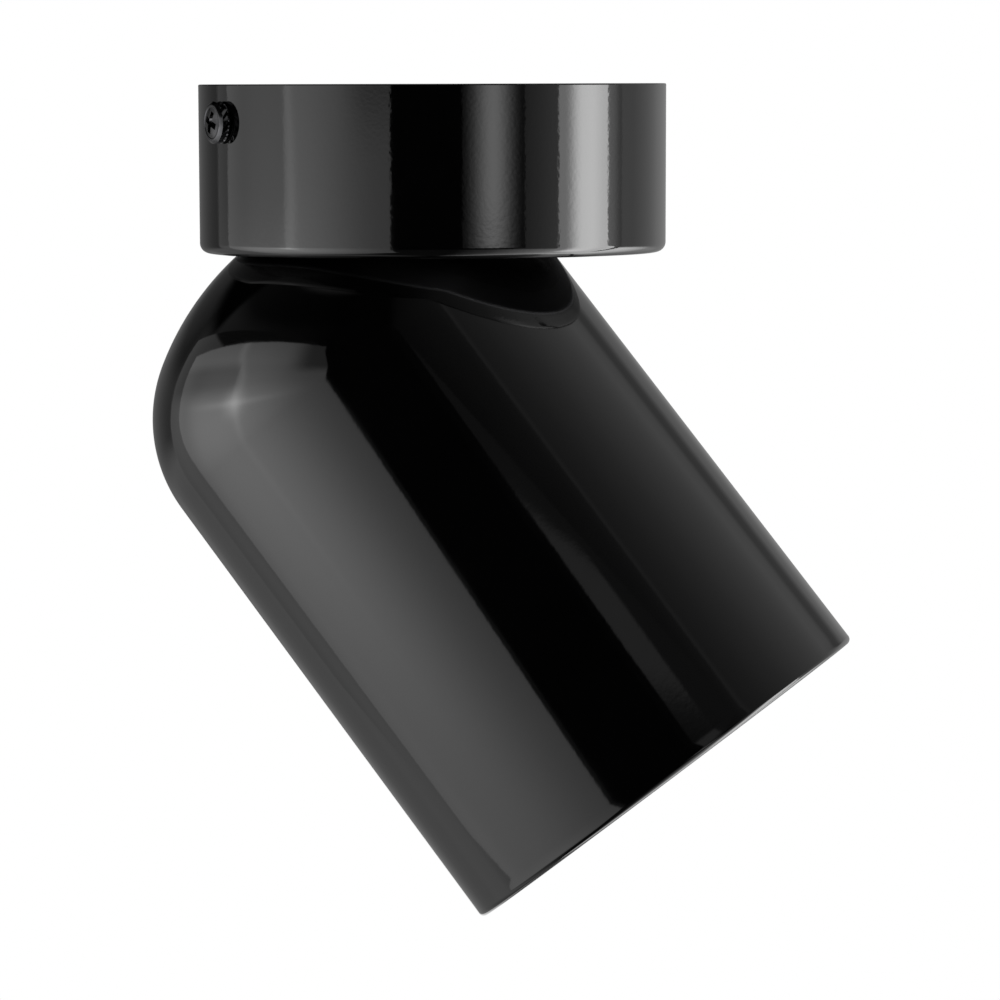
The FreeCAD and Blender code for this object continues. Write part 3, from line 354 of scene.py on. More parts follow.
soft_panel = card(
    "soft_panel", bearing=-70, distance=0.270, left=-0.393, right_end=0.350, low=-0.400, high=0.098)
LAMP_HEIGHT, GLOW_HEIGHT = 74, 117
cloth = Finish("lit cloth")
u, v = card_coordinates(cloth)
up_from_glow, up_from_lamp = v + GLOW_HEIGHT, v + LAMP_HEIGHT
off_centre = (u * u + up_from_glow * up_from_glow) ** 0.5
from_lamp = (u * u + up_from_lamp * up_from_lamp) ** 0.5
upper, top = cloth.ramp(v, -75, -25), cloth.ramp(v, -5, 25)
cross = gauss(up_from_lamp, 8) * gauss(u, 100) * 0.8
cross = cross + gauss(u + up_from_lamp * 0.16 - 3, 11) * gauss(v + 90, 90) * 0.6 * (1 - upper)
cross = cross + upper * gauss(u - 12 + cloth.ramp(v, -30, 55) * 37, 12) * 0.45
fade = upper * (0.55 - u.maths("MAXIMUM", 0.0) * 0.0016) * (1 - top * 0.35)
lit = 1.1 - u * 0.0008 + gauss(off_centre, 165) * 2.0 + gauss(from_lamp, 27) * 2.2 + cross - fade
left_dim = upper * cloth.ramp(u, -1, -12) * cloth.ramp(u, -250, -140, 0.08, 0.28) * (1 - top)
left_dim = left_dim + (1 - upper) * cloth.ramp(u, -120, -232, 0.0, 0.2)
corner = cloth.ramp(v, -25, 15) * cloth.ramp(u, 120, 230) * 0.65
left_edge = cloth.ramp(u + cloth.ramp(v, -250, -90) * 62, -207, -202)
right_edge = cloth.ramp(u + cloth.ramp(v, -5, 85) * 44, 333, 325)
panel = left_edge * right_edge * cloth.ramp(v - u * 0.085, 68, 64)
beside = upper * (cloth.ramp(v + u * 0.37, 18, 8) * 0.32 + 0.04)
beside = beside + (1 - upper) * cloth.ramp(u, -393, -215, 0.46, 0.70)
beside = beside * cloth.ramp(u, 260, 200, 0.1, 1.0)
card_glow(soft_panel, cloth, lit * (1 - left_dim) * (1 - corner) * panel + (1 - panel) * beside)

bright_panel = card(
    "bright_panel", bearing=82, distance=0.800, left=-0.282, right_end=0.325, low=-0.700, high=0.012)
tube = Finish("bright panel")
u, v = card_coordinates(tube)
PANEL_END = 168
hot = tube.ramp(u, -229, -75, 3.0, 9.8) * tube.ramp(u, -14, 156, 1.0, 0.72)
low_part = tube.ramp(v, -60, -160)
edge = tube.ramp(u - low_part * 90, PANEL_END, PANEL_END - 12)
card_glow(bright_panel, tube, hot * edge + tube.ramp(u, PANEL_END, 325, 1.5, 0.5) * (1 - edge))

slim_strip = card(
    "slim_strip", bearing=28, distance=0.800, left=-0.200, right_end=0.237, low=-0.100, high=0.350)
strip = Finish("slim strip")
u, v = card_coordinates(strip)
left_end = strip.ramp(u, -157, -147)
hanging = v - u * 0.53
strip_core = gauss(u - 10, 112) * 2.7 * strip.ramp(v, 12, 4) * strip.ramp(v, -95, -40, 0.3, 1.0)
strip_tail = strip.ramp(u, 14, -12) * strip.ramp(v - u * 0.36, 324, 306)
strip_tail = strip_tail * strip.ramp(hanging, 232, 258) * 0.24 * left_end
strip_veil = left_end * strip.ramp(hanging, 190, 240) * 0.085
card_glow(slim_strip, strip, strip_core + strip_tail + strip_veil + 0.012)
print("cards:", soft_panel.name, bright_panel.name, slim_strip.name)

# %% [markdown]
# Beyond the cards the tent is dark, a little lighter behind the object and low down. A large sphere with an
# opening at the back, towards the backdrop, gives reflections that darkness, worked out from each point's
# bearing and elevation. Three profiles give the light by bearing: below the horizon, level with it and
# above it.

# %% The dark tent
TENT_RADIUS = 2.0
TENT_CENTRE = Vector((0, 0, -0.07))


def tent_mesh(opening=6, step=3, height_step=5):
    """A sphere seen from inside, open for a few degrees either side of straight behind the object."""
    bearings = range(-180 + opening, 181 - opening, step)
    heights = range(-90, 91, height_step)
    spots = []
    for bearing in bearings:
        outward, _ = card_frame(bearing)
        for height in heights:
            angle = radians(height)
            spots.append(TENT_CENTRE + (outward * cos(angle) + to_top * sin(angle)) * TENT_RADIUS)
    rows = len(heights)
    faces = []
    for i in range(len(bearings) - 1):
        for k in range(rows - 1):
            faces.append((i * rows + k, i * rows + k + 1, (i + 1) * rows + k + 1, (i + 1) * rows + k))
    return mesh_of("tent", spots, faces)


tent = add_object("tent", tent_mesh())
dark = Finish("dark tent")
spot = dark.vector_maths("SUBTRACT", dark.coordinates(), TENT_CENTRE)
axes = (to_right, -to_back, to_top)
sideways, towards, rise = [dark.vector_maths("DOT_PRODUCT", spot, axis, output=1) for axis in axes]
bearing = sideways.maths("ARCTAN2", towards) * degrees(1)
elevation = (rise / TENT_RADIUS).maths("ARCSINE") * degrees(1)
LOW_PEAK = 7.0
below = dark.profile(bearing, [(b, light / LOW_PEAK) for b, light in (
    (-180, 0.25), (-168, 0.28), (-152, 0.28), (-143, 0.34), (-135, 0.43), (-128, 0.55), (-115, 0.70),
    (-100, 0.60), (-60, 0.30), (-35, 0.05), (12, 0.05), (30, 0.45), (51, 1.60), (70, 3.00), (82, 4.60),
    (92, 6.20), (111, 6.00), (128, 2.80), (140, 1.00), (160, 0.40), (180, 0.28))]) * LOW_PEAK
level = dark.profile(bearing, (
    (-180, 0.17), (-150, 0.17), (-138, 0.15), (-131, 0.15), (-129, 0.36), (-119, 0.40), (-60, 0.10),
    (-20, 0.004), (38, 0.004), (43, 0.26), (52, 0.42), (60, 0.60), (100, 0.80), (115, 0.57), (144, 0.55),
    (163, 0.37), (180, 0.30)))
above = dark.profile(bearing, (
    (-180, 0.10), (-150, 0.07), (-135, 0.06), (-126, 0.11), (-105, 0.11), (-80, 0.08), (-60, 0.05),
    (-40, 0.03), (-20, 0.004), (13, 0.004), (18, 0.04), (24, 0.055), (40, 0.09), (45, 0.12), (46.5, 0.26),
    (48.5, 0.18), (60, 0.23), (70, 0.30), (80, 0.36), (90, 0.44), (100, 0.50), (126, 0.58), (134, 0.42),
    (138, 0.22), (143, 0.20), (149, 0.37), (160, 0.31), (180, 0.26)))
rear_left_gone = dark.ramp(bearing, -113, -121) * dark.ramp(elevation, 20, 27)
left_gone = dark.ramp(bearing, 0, -20) * dark.ramp(elevation, 30, 40, 0.0, 0.75)
above = above * (1 - rear_left_gone) * (1 - left_gone)
rising = dark.ramp(elevation, 3, 13)
falling = dark.ramp(elevation, -8, -18)
tent_light = level * (1 - rising) * (1 - falling) + above * rising + below * falling
card_glow(tent, dark, tent_light + dark.ramp(elevation, 52, 68) * 0.8)
only_reflected(tent)
print("tent:", len(tent.data.polygons), "faces")

# %% [markdown]
# The lamps are broad and soft, and stand where the photograph's panels do. Reflections leave them out,
# because the cards already stand for them there.

# %% Soft lamps
def lamp(name, bearing, distance, height, size, power):
    """A square area lamp that looks at the middle of the object."""
    light = bpy.data.lights.new(name, "AREA")
    light.shape = "SQUARE"
    light.size = size
    light.energy = power
    item = add_object(name, light)
    outward, _ = card_frame(bearing)
    item.location = outward * distance + to_top * height
    item.rotation_euler = (TENT_CENTRE - item.location).to_track_quat("-Z", "Y").to_euler()
    item.visible_glossy = False
    item.visible_transmission = False


lamp("left_lamp", bearing=-70, distance=1.0, height=0.15, size=0.8, power=3.2)
lamp("right_lamp", bearing=82, distance=1.0, height=0.10, size=0.5, power=1.6)
lamp("low_lamp", bearing=20, distance=0.8, height=-0.55, size=0.6, power=1.6)
print("lamps:", [light.name for light in bpy.data.lights])

# %% [markdown]
# ## Gloss black paint
# The canopy and the head are die-cast aluminium under a thick coat of gloss black. The paint is smooth, but
# like every sprayed coat it has a faint orange peel. A dark base with a low roughness gives the
# reflections, and a very shallow bump at three scales bends them as real paint does. Towards the rim of the
# canopy's dish the paint turns to satin dark grey metal. This is a painted sheen, which lightens the dish
# where the head's neck reflects it.

# %% The paint
PIVOT_DROP = 74.2
PIVOT = Vector((0, 0, -PIVOT_DROP)) * MM
DISH_RADIUS = 57.0
# Radii in millimetres over which the painted sheen of satin grey metal fades in on the dish.
DISH_SHEEN_START, DISH_SHEEN_END = 31.0, 38.0


def gloss_black(name, grain, painted_sheen=None):
    """Gloss black paint with a fine grain, and a painted sheen of satin dark grey metal where the optional
    mask is one.
    """
    paint = Finish(name)
    peel = paint.noise(1400.0, 1.0, 0.4) * grain + paint.noise(420.0, 2.0, 0.4) * 0.7
    peel = peel + paint.noise(95.0, 1.0, 0.5) * 0.6
    dust = paint.noise(60.0, 4.0, 0.6)
    colour = paint.blend(dust, (0.0003, 0.0003, 0.0003, 1), (0.0008, 0.0008, 0.0009, 1))
    roughness = paint.ramp(dust, 0.3, 0.8, 0.045, 0.075)
    share = 0.0
    if painted_sheen:
        # Painted sheen: satin dark grey metal that lightens the dish where the head's neck reflects it.
        share = painted_sheen(paint)
        colour = paint.blend(share, colour, (0.15, 0.15, 0.155, 1))
        roughness = roughness * (1 - share) + paint.ramp(dust, 0.3, 0.8, 0.38, 0.46) * share
    return paint.surface(
        Base_Color=colour,
        Metallic=share,
        Roughness=roughness,
        IOR=1.5,
        Normal=paint.bump(peel, 0.000012, 0.5),
    )


def in_dish(paint):
    """The mask of the painted sheen: rises from zero to one towards the rim of the dish, whose surface is a
    sphere about the pivot.
    """
    spot = paint.coordinates()
    away = paint.vector_maths("LENGTH", paint.vector_maths("SUBTRACT", spot, PIVOT), output=1)
    x, y, _ = paint.parts(spot)
    radius = (x * x + y * y) ** 0.5
    dish = paint.ramp(away, (DISH_RADIUS + 0.6) * MM, (DISH_RADIUS + 0.2) * MM)
    return dish * paint.ramp(radius, DISH_SHEEN_START * MM, DISH_SHEEN_END * MM)


black_paint = gloss_black("gloss black paint", grain=0.25)
# The canopy's paint carries the painted sheen at the dish's rim.
canopy_paint = gloss_black("gloss black paint, painted sheen at the dish's rim", grain=1.0, painted_sheen=in_dish)
print("finishes:", black_paint.name, "and", canopy_paint.name)

# %% [markdown]
# ## The canopy and the head
# Both are round, so both are turned shapes: a closed outline in millimetres, swung about an axis. `arc`
# samples the rounded corners finely, because a gloss surface shows every flat. The head's outline is drawn
# upright about its pivot and then leant over, as the real one tilts.

# %% Turned shapes
REST_TILT = radians(37.4)
lean_head = Matrix.Translation(PIVOT) @ Matrix.Rotation(-REST_TILT, 4, "Y")


def between(start, stop, i, steps):
    """The value at step i when the way from start to stop has so many steps."""
    return start + (stop - start) * i / steps


def arc(centre, radius, start, stop, steps):
    """Points of an arc in the outline's plane, angles in degrees."""
    angles = [radians(between(start, stop, i, steps)) for i in range(steps + 1)]
    return [(centre[0] + radius * cos(angle), centre[1] + radius * sin(angle)) for angle in angles]


def ladder(start, stop, steps):
    """Points along a straight run, without its end."""
    return [tuple(between(start[n], stop[n], i, steps) for n in (0, 1)) for i in range(steps)]


def turned(name, outline, sides=288, closed=True):
    """An outline in millimetres swung about the vertical axis. Points on the axis become one pole."""
    spots, rings = [], []
    for radius, height in outline:
        if radius < 1e-6:
            rings.append([len(spots)] * sides)
            spots.append((0, 0, height * MM))
            continue
        rings.append(list(range(len(spots), len(spots) + sides)))
        for i in range(sides):
            angle = 2 * pi * i / sides
            spots.append((radius * MM * cos(angle), radius * MM * sin(angle), height * MM))
    faces = []
    for low, high in zip(rings, rings[1:] + (rings[:1] if closed else [])):
        for i in range(sides):
            k = (i + 1) % sides
            face = [low[i], low[k], high[k], high[i]]
            face = [spot for n, spot in enumerate(face) if spot not in face[:n]]
            if len(face) > 2:
                faces.append(face)
    return mesh_of(name, spots, faces)


def settle(mesh, angle=35):
    """Merges doubles, turns the faces outwards, shades smooth and keeps the real edges sharp."""
    shell = bmesh.new()
    shell.from_mesh(mesh)
    bmesh.ops.remove_doubles(shell, verts=shell.verts, dist=1e-7)
    bmesh.ops.recalc_face_normals(shell, faces=shell.faces)
    shell.to_mesh(mesh)
    shell.free()
    mesh.polygons.foreach_set("use_smooth", [True] * len(mesh.polygons))
    mesh.set_sharp_from_angle(angle=radians(angle))
    mesh.update()
    return mesh


def turned_piece(name, outline, sides=288, closed=True):
    return add_object(name, settle(turned(name, outline, sides, closed)))


def evaluated_mesh(item):
    """A new mesh of what the item's curve or modifiers give."""
    depsgraph = bpy.context.evaluated_depsgraph_get()
    return bpy.data.meshes.new_from_object(item.evaluated_get(depsgraph), depsgraph=depsgraph)


def bake(item):
    """The item's evaluated mesh becomes its own, and its modifiers go."""
    mesh = evaluated_mesh(item)
    item.modifiers.clear()
    item.data = mesh


def combine(item, tool, operation):
    """Adds one closed mesh to another or takes it away, and removes the tool."""
    modifier = item.modifiers.new("combine", "BOOLEAN")
    modifier.operation = operation
    modifier.solver = "EXACT"
    modifier.object = tool
    bake(item)
    bpy.data.objects.remove(tool)


def coat(item, finish):
    """Gives an item one finish in place of what it had."""
    item.data.materials.clear()
    item.data.materials.append(finish)


print("the head leans", round(degrees(REST_TILT), 1), "degrees at rest")

# %% [markdown]
# The canopy is a shallow cup, open to the ceiling. Its underside is a dish whose centre is the head's
# pivot, so that the gap to the dome stays one millimetre at every tilt. Its outline runs from the boss's
# bore across the dish, round the rim, up the side and back along the inside. Rows of points just beside a
# fillet keep the shading of the straight part from creeping into it.

# %% The canopy
BOSS_RADIUS, DISH_EDGE, INNER_SPHERE = 11.0, 38.4, 59.2


def dish_run(start, stop, sphere, steps):
    """Points along a sphere about the pivot from one radius to another."""
    first, last = asin(start / sphere), asin(stop / sphere)
    angles = [between(first, last, i, steps) for i in range(steps + 1)]
    return [(sphere * sin(angle), sphere * cos(angle) - PIVOT_DROP) for angle in angles]


canopy_outline = [(5.0, -12.4), (5.0, -15.0), (BOSS_RADIUS, -15.0)]
canopy_outline += dish_run(BOSS_RADIUS, DISH_EDGE, DISH_RADIUS, 40)
canopy_outline += [(38.62, -32.24), (38.86, -32.36), (39.2, -32.4)]
canopy_outline += ladder((39.2, -32.4), (42.85, -32.4), 3)
canopy_outline += arc((42.86, -30.4), 2.0, -90, 0, 14) + [(44.861, -30.3)]
canopy_outline += ladder((44.865, -29.0), (44.997, -0.6), 14) + [(44.997, -0.6), (44.999, -0.3)]
canopy_outline += arc((44.75, -0.25), 0.25, 0, 90, 4)
canopy_outline += [(43.0, 0.0), (42.8, -0.2), (42.8, -30.2), (39.61, -30.2)]
canopy_outline += dish_run(39.61, 13.5, INNER_SPHERE, 20)[1:]
canopy_outline += [(13.5, -12.4)]
canopy_shell = turned_piece("canopy_shell", canopy_outline)

THUMB_AZIMUTH, THUMB_DROP, THUMB_HOLE = 38.9, 7.2, 2.2
DRILL_REACH = 50.0
drill_outline = [(0, -DRILL_REACH), (THUMB_HOLE, -DRILL_REACH), (THUMB_HOLE, DRILL_REACH), (0, DRILL_REACH)]
drill = add_object("drill", turned("drill", drill_outline, 48, False))
lying = Matrix.Rotation(radians(THUMB_AZIMUTH), 4, "Z") @ Matrix.Rotation(pi / 2, 4, "Y")
drill.data.transform(Matrix.Translation((0, 0, -THUMB_DROP * MM)) @ lying)
settle(drill.data)
combine(canopy_shell, drill, "DIFFERENCE")
settle(canopy_shell.data)
coat(canopy_shell, canopy_paint)
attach(canopy_shell, "base")
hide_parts("canopy")
print("canopy:", len(canopy_shell.data.polygons), "faces")

# %% [markdown]
# The head is a tube with a domed end: a large crown sphere about the pivot, a tighter knuckle, and a side
# with a hair of draft. The wall is two millimetres, the lip at the mouth is rounded, and a step inside
# holds the glare ring. The outline runs down the inside, round the lip and up the outside.

# %% The head
CROWN, KNUCKLE, WALL = 56.0, 29.0, 2.0
SHOULDER, MOUTH, MOUTH_DEPTH = 43.6, 44.5, -75.0
STEP_RADIUS, STEP_DEPTH = 43.1, -66.0
knuckle_centre = (SHOULDER - KNUCKLE, sqrt((CROWN - KNUCKLE) ** 2 - (SHOULDER - KNUCKLE) ** 2))
touch = degrees(atan2(knuckle_centre[1], knuckle_centre[0]))


def side(height, wall=0.0):
    """The head's radius at a height below the knuckle."""
    share = (MOUTH - SHOULDER) * (knuckle_centre[1] - height) / (knuckle_centre[1] - MOUTH_DEPTH)
    return SHOULDER - wall + share


head_outline = [(0.0, CROWN - WALL)]
head_outline += arc((0, 0), CROWN - WALL, 90, touch, 30)[1:]
head_outline += arc(knuckle_centre, KNUCKLE - WALL, touch, 0, 24)[1:]
head_outline += [(side(height, WALL), height) for height in (0.0, -40.0, STEP_DEPTH)]
head_outline += [(STEP_RADIUS, STEP_DEPTH), (STEP_RADIUS, -74.8), (43.2, MOUTH_DEPTH)]
head_outline += arc((43.4, -73.9), 1.1, -90, 0, 10)
head_outline += [(side(h), h) for h in (-73.8, -72.0, -66.0, -50.0, -34.0, -18.0, -2.0, 10.0, 18.0)]
head_outline += arc(knuckle_centre, KNUCKLE, 0, touch, 60)
head_outline += arc((0, 0), CROWN, touch, 90, 60)[1:-1] + [(0.0, CROWN)]
head_body = turned_piece("head_body", head_outline, closed=False)
print("head's outline:", len(head_outline), "points")

# %% [markdown]
# Inside, three hollow posts are cast in one piece with the wall and take the lamp carrier's screws. A post
# is turned like the rest, stood round the axis three times and joined to the head with a union.

# %% The posts inside the head
POST_RADIUS, POST_HOLE, POST_OFFSET, POST_BREAK = 4.2, 1.3, 37.924, 0.3
HOLE_END, POST_LOW, POST_HIGH = -9.0, -12.5, 22.7
post_outline = [(0.0, HOLE_END), (POST_HOLE, HOLE_END), (POST_HOLE, POST_LOW)]
post_outline += [(POST_RADIUS - POST_BREAK, POST_LOW), (POST_RADIUS, POST_LOW + POST_BREAK)]
post_outline += [(POST_RADIUS, POST_HIGH - POST_BREAK), (POST_RADIUS - POST_BREAK, POST_HIGH)]
post_outline += [(0.0, POST_HIGH)]


def stood_round(name, outline, radius, azimuths, sides=48):
    """One mesh of turned shapes stood on a circle about the vertical axis."""
    group = bmesh.new()
    for azimuth in azimuths:
        single = turned(name, outline, sides, closed=False)
        angle = radians(azimuth)
        single.transform(Matrix.Translation(Vector((cos(angle), sin(angle), 0)) * radius * MM))
        group.from_mesh(single)
        bpy.data.meshes.remove(single)
    mesh = bpy.data.meshes.new(name)
    group.to_mesh(mesh)
    group.free()
    return settle(mesh)


posts = add_object("posts", stood_round("posts", post_outline, POST_OFFSET, (0, 120, 240)))
print("posts:", len(posts.data.polygons), "faces")

# %% [markdown]
# A slot in the crown lets the stem in as the head tilts. It points at the pivot all along, so its cutter is
# a sweep of a rounded outline about the pivot, not a straight box.

# %% The slot, and the finished head
SLOT_HALF_WIDTH, SLOT_REACH = 5.75, 40.0
CUTTER_RADII, END_STEPS = (50.0, 60.0), 24


def slot_cutter():
    """A solid of the slot's shape: two round ends that point at the pivot, and the sweep between them."""
    rim = []
    for lean, first in ((0.0, 90), (SLOT_REACH, 270)):
        for i in range(END_STEPS + 1):
            rim.append((radians(lean), radians(first + 180 * i / END_STEPS)))
    spots = []
    for radius in CUTTER_RADII:
        for angle, beta in rim:
            out = Vector((sin(angle), 0, cos(angle)))
            along = Vector((cos(angle), 0, -sin(angle)))
            spot = out * radius + along * SLOT_HALF_WIDTH * cos(beta)
            spots.append((spot + Vector((0, 1, 0)) * SLOT_HALF_WIDTH * sin(beta)) * MM)
        middle = radians(SLOT_REACH / 2)
        spots.append(Vector((sin(middle), 0, cos(middle))) * radius * MM)
    count = len(rim)
    faces = []
    for i in range(count):
        k = (i + 1) % count
        faces.append((i, k, count + 1 + k, count + 1 + i))
        faces.append((i, k, count))
        faces.append((count + 1 + i, count + 1 + k, 2 * count + 1))
    return add_object("slot_cutter", settle(mesh_of("slot_cutter", spots, faces)))


combine(head_body, slot_cutter(), "DIFFERENCE")
combine(head_body, posts, "UNION")
head_body.data.transform(lean_head)
settle(head_body.data)
coat(head_body, black_paint)
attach(head_body, "head")
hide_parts("head_shell")
print("head:", len(head_body.data.polygons), "faces")

# %% [markdown]
# ## Geometry Nodes recipes
# Knurling, ribs and lenslets repeat by a rule, and wires follow a path. Each could be modelled once and
# copied by hand, but a tree of geometry nodes keeps the rule and its sizes in one place. `Recipe` is the
# bench of one such tree: it takes named sizes, ends in real geometry with its material, and `run` turns its
# result into a plain mesh.

# %% Recipes
class Recipe(Bench):
    """One tree of geometry nodes with named sizes."""

    def __init__(self, name, **sizes):
        self.tree = bpy.data.node_groups.new(name, "GeometryNodeTree")
        doors = self.tree.interface
        doors.new_socket("Geometry", in_out="OUTPUT", socket_type="NodeSocketGeometry")
        doors.new_socket("Geometry", in_out="INPUT", socket_type="NodeSocketGeometry")
        for label, value in sizes.items():
            kind = "NodeSocketInt" if isinstance(value, int) else "NodeSocketFloat"
            doors.new_socket(label, in_out="INPUT", socket_type=kind).default_value = value
        self.entry = self.tree.nodes.new("NodeGroupInput")

    def size(self, label):
        """A named size, or the geometry that comes in."""
        return Signal(self.tree, self.entry.outputs[label])

    def position(self):
        return self.node("GeometryNodeInputPosition")

    def moved(self, geometry, spot):
        return self.node("GeometryNodeSetPosition", {"Geometry": geometry, "Position": spot})

    def joined(self, *shapes):
        """Several geometries as one."""
        join = self.tree.nodes.new("GeometryNodeJoinGeometry")
        for shape in reversed(shapes):
            self.tree.links.new(shape.socket, join.inputs[0])
        return Signal(self.tree, join.outputs[0])

    def close(self, geometry, material):
        solid = self.node("GeometryNodeRealizeInstances", {"Geometry": geometry})
        painted = self.node("GeometryNodeSetMaterial", {"Geometry": solid, "Material": material})
        plug(self.tree, self.tree.nodes.new("NodeGroupOutput").inputs["Geometry"], painted)

    def run(self, item):
        """Runs the tree on an object and keeps the result as its mesh."""
        item.modifiers.new(self.tree.name, "NODES").node_group = self.tree
        bake(item)


def toothed(recipe):
    """Sinks a band of the surface between even crests, and twists it so that the crests may lean."""
    x, y, z = recipe.parts(recipe.position())
    radius = (x * x + y * y) ** 0.5
    angle = y.maths("ARCTAN2", x)
    turns = angle * recipe.size("Teeth") / (2 * pi)
    dip = turns.maths("PINGPONG", 0.5) * 2
    low, high, edge = recipe.size("Low"), recipe.size("High"), recipe.size("Edge")
    band = recipe.ramp(z, low, low + edge) * recipe.ramp(z, high - edge, high, 1.0, 0.0)
    band = band * radius.maths("GREATER_THAN", recipe.size("Inside"))
    radius = radius - dip * band * recipe.size("Depth")
    climb = z.maths("MAXIMUM", low).maths("MINIMUM", high) - low
    angle = angle - climb * recipe.size("Twist")
    spot = recipe.vector(angle.maths("COSINE") * radius, angle.maths("SINE") * radius, z)
    return recipe.moved(recipe.size("Geometry"), spot)


print("recipe bench ready")

# %% [markdown]
# ## Two-tone finishes
# Most of the plainer finishes follow one pattern: two tones and a roughness that go with the same noise,
# and a shallow bump from that noise or from a finer one. `two_tone` takes those values, and any other socket
# by its name. The first to use it is the black nickel of the thumbscrews.

# %% The two-tone pattern and black nickel
def two_tone(name, noise, tones, roughness, bump, spread=(0.3, 0.7), tone_spread=None, relief=None, **other):
    """A finish whose tone and roughness follow one noise, and its bump the relief or else the same noise."""
    finish = Finish(name)
    cloud = finish.noise(*noise)
    tone = finish.ramp(cloud, *tone_spread) if tone_spread else cloud
    height = finish.noise(*relief) if relief else cloud
    return finish.surface(
        Base_Color=finish.blend(tone, *tones),
        Roughness=finish.ramp(cloud, *spread, *roughness),
        Normal=finish.bump(height, *bump),
        **other,
    )


black_hardware = two_tone(
    "black nickel", noise=(900.0, 4.0, 0.6), tones=((0.030, 0.030, 0.032, 1), (0.075, 0.075, 0.078, 1)),
    roughness=(0.12, 0.30), spread=(0.3, 0.75), relief=(2500.0, 2.0, 0.5), bump=(0.00002, 0.6), Metallic=1.0)
print("finish:", black_hardware.name)

# %% [markdown]
# ## The thumbscrews
# Two thumbscrews hold the canopy to the plate. In the photograph one shows at the upper left: a black
# knurled head whose crests lean a little, a smooth collar against the canopy, and a flat face with a worn
# cross recess. The blank is turned, the recess is cut, and one recipe knurls it and stands a copy at each
# end of the plate.

# %% Knurled thumbscrews
KNURL_ROWS, CRESTS, CREST_COLUMNS = 10, 14, 20
SEAT_RADIUS = 45.0
thumb_outline = [(0.0, -8.1), (1.7, -8.1), (1.95, -7.85), (1.95, -0.02)]
thumb_outline += [(3.5, -0.02), (3.8, 0.08), (3.8, 0.34), (4.0, 0.40)]
thumb_outline += ladder((4.0, 0.44), (4.0, 1.74), KNURL_ROWS)
thumb_outline += [(4.0, 1.74), (3.8, 1.92), (3.52, 2.18), (3.36, 2.28), (3.2, 2.3), (3.02, 2.27), (2.9, 2.16)]
thumb_outline += arc((0, -8.2), 10.75, 74.6, 90, 10)[:-1] + [(0.0, 2.55)]
thumb_blank = turned("thumb_blank", thumb_outline, CRESTS * CREST_COLUMNS, False)
thumb_blank = add_object("thumbscrew_pair", settle(thumb_blank, 30))


def cross_cutter(length, width, tip, low, high, taper=0.8):
    """A cross-shaped plug that narrows downwards and ends in a blunt point, as a driver recess does."""
    rings = []
    for height, share in ((low, taper), (high, 1.0)):
        reach, half = length / 2 * share, width / 2
        arm = ((reach, -half), (reach, half), (half, half))
        for quarter in range(4):
            swing = Matrix.Rotation(quarter * pi / 2, 3, "Z")
            rings += [swing @ Vector((x, y, height)) * MM for x, y in arm]
    count = len(rings) // 2
    rings.append(Vector((0, 0, tip)) * MM)
    faces = [tuple(range(count, 2 * count))]
    faces += [(i, (i + 1) % count, count + (i + 1) % count, count + i) for i in range(count)]
    faces += [(i, (i + 1) % count, 2 * count) for i in range(count)]
    return add_object("cross_cutter", settle(mesh_of("cross_cutter", rings, faces)))


combine(thumb_blank, cross_cutter(length=4.7, width=1.2, tip=0.35, low=1.75, high=2.9), "DIFFERENCE")
settle(thumb_blank.data, 30)

knurling = Recipe(
    "knurled pair", Teeth=CRESTS, Depth=0.42 * MM, Twist=300.0, Low=0.42 * MM, High=1.76 * MM, Edge=0.14 * MM,
    Inside=3.7 * MM, Reach=SEAT_RADIUS * MM, Drop=THUMB_DROP * MM, Azimuth=radians(THUMB_AZIMUTH))
single = toothed(knurling)
line = knurling.node("GeometryNodeMeshLine", {"Count": 2})
heading = knurling.node("GeometryNodeInputIndex") * pi + knurling.size("Azimuth")
reach = knurling.size("Reach")
ahead, aside = heading.maths("COSINE"), heading.maths("SINE")
spots = knurling.moved(line, knurling.vector(ahead * reach, aside * reach, -knurling.size("Drop")))
facing = knurling.node("FunctionNodeEulerToRotation", {"Euler": knurling.vector(0.0, pi / 2, heading)})
placed = {"Points": spots, "Instance": single, "Rotation": facing}
knurling.close(knurling.node("GeometryNodeInstanceOnPoints", placed), black_hardware)
knurling.run(thumb_blank)
settle(thumb_blank.data, 30)
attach(thumb_blank, "base")
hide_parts("thumbscrews")
print("thumbscrews:", len(thumb_blank.data.polygons), "faces")

# %% [markdown]
# ## The mouth
# Inside the mouth a spun ring closes the gap round the lamp. Such rings carry fine steps, so that stray
# light dies out between them. The steps are part of its turned outline, a quarter of a millimetre deep, and
# the paint is matt.

# %% Matt black and the glare ring
matt = Finish("matt black paint")
grain = matt.noise(3200.0, 3.0, 0.6)
matt_paint = matt.surface(
    Base_Color=matt.blend(matt.noise(140.0), (0.013, 0.013, 0.013, 1), (0.026, 0.026, 0.027, 1)),
    Roughness=matt.ramp(grain, 0.3, 0.7, 0.5, 0.68),
    Normal=matt.bump(grain, 0.00001, 0.4),
)

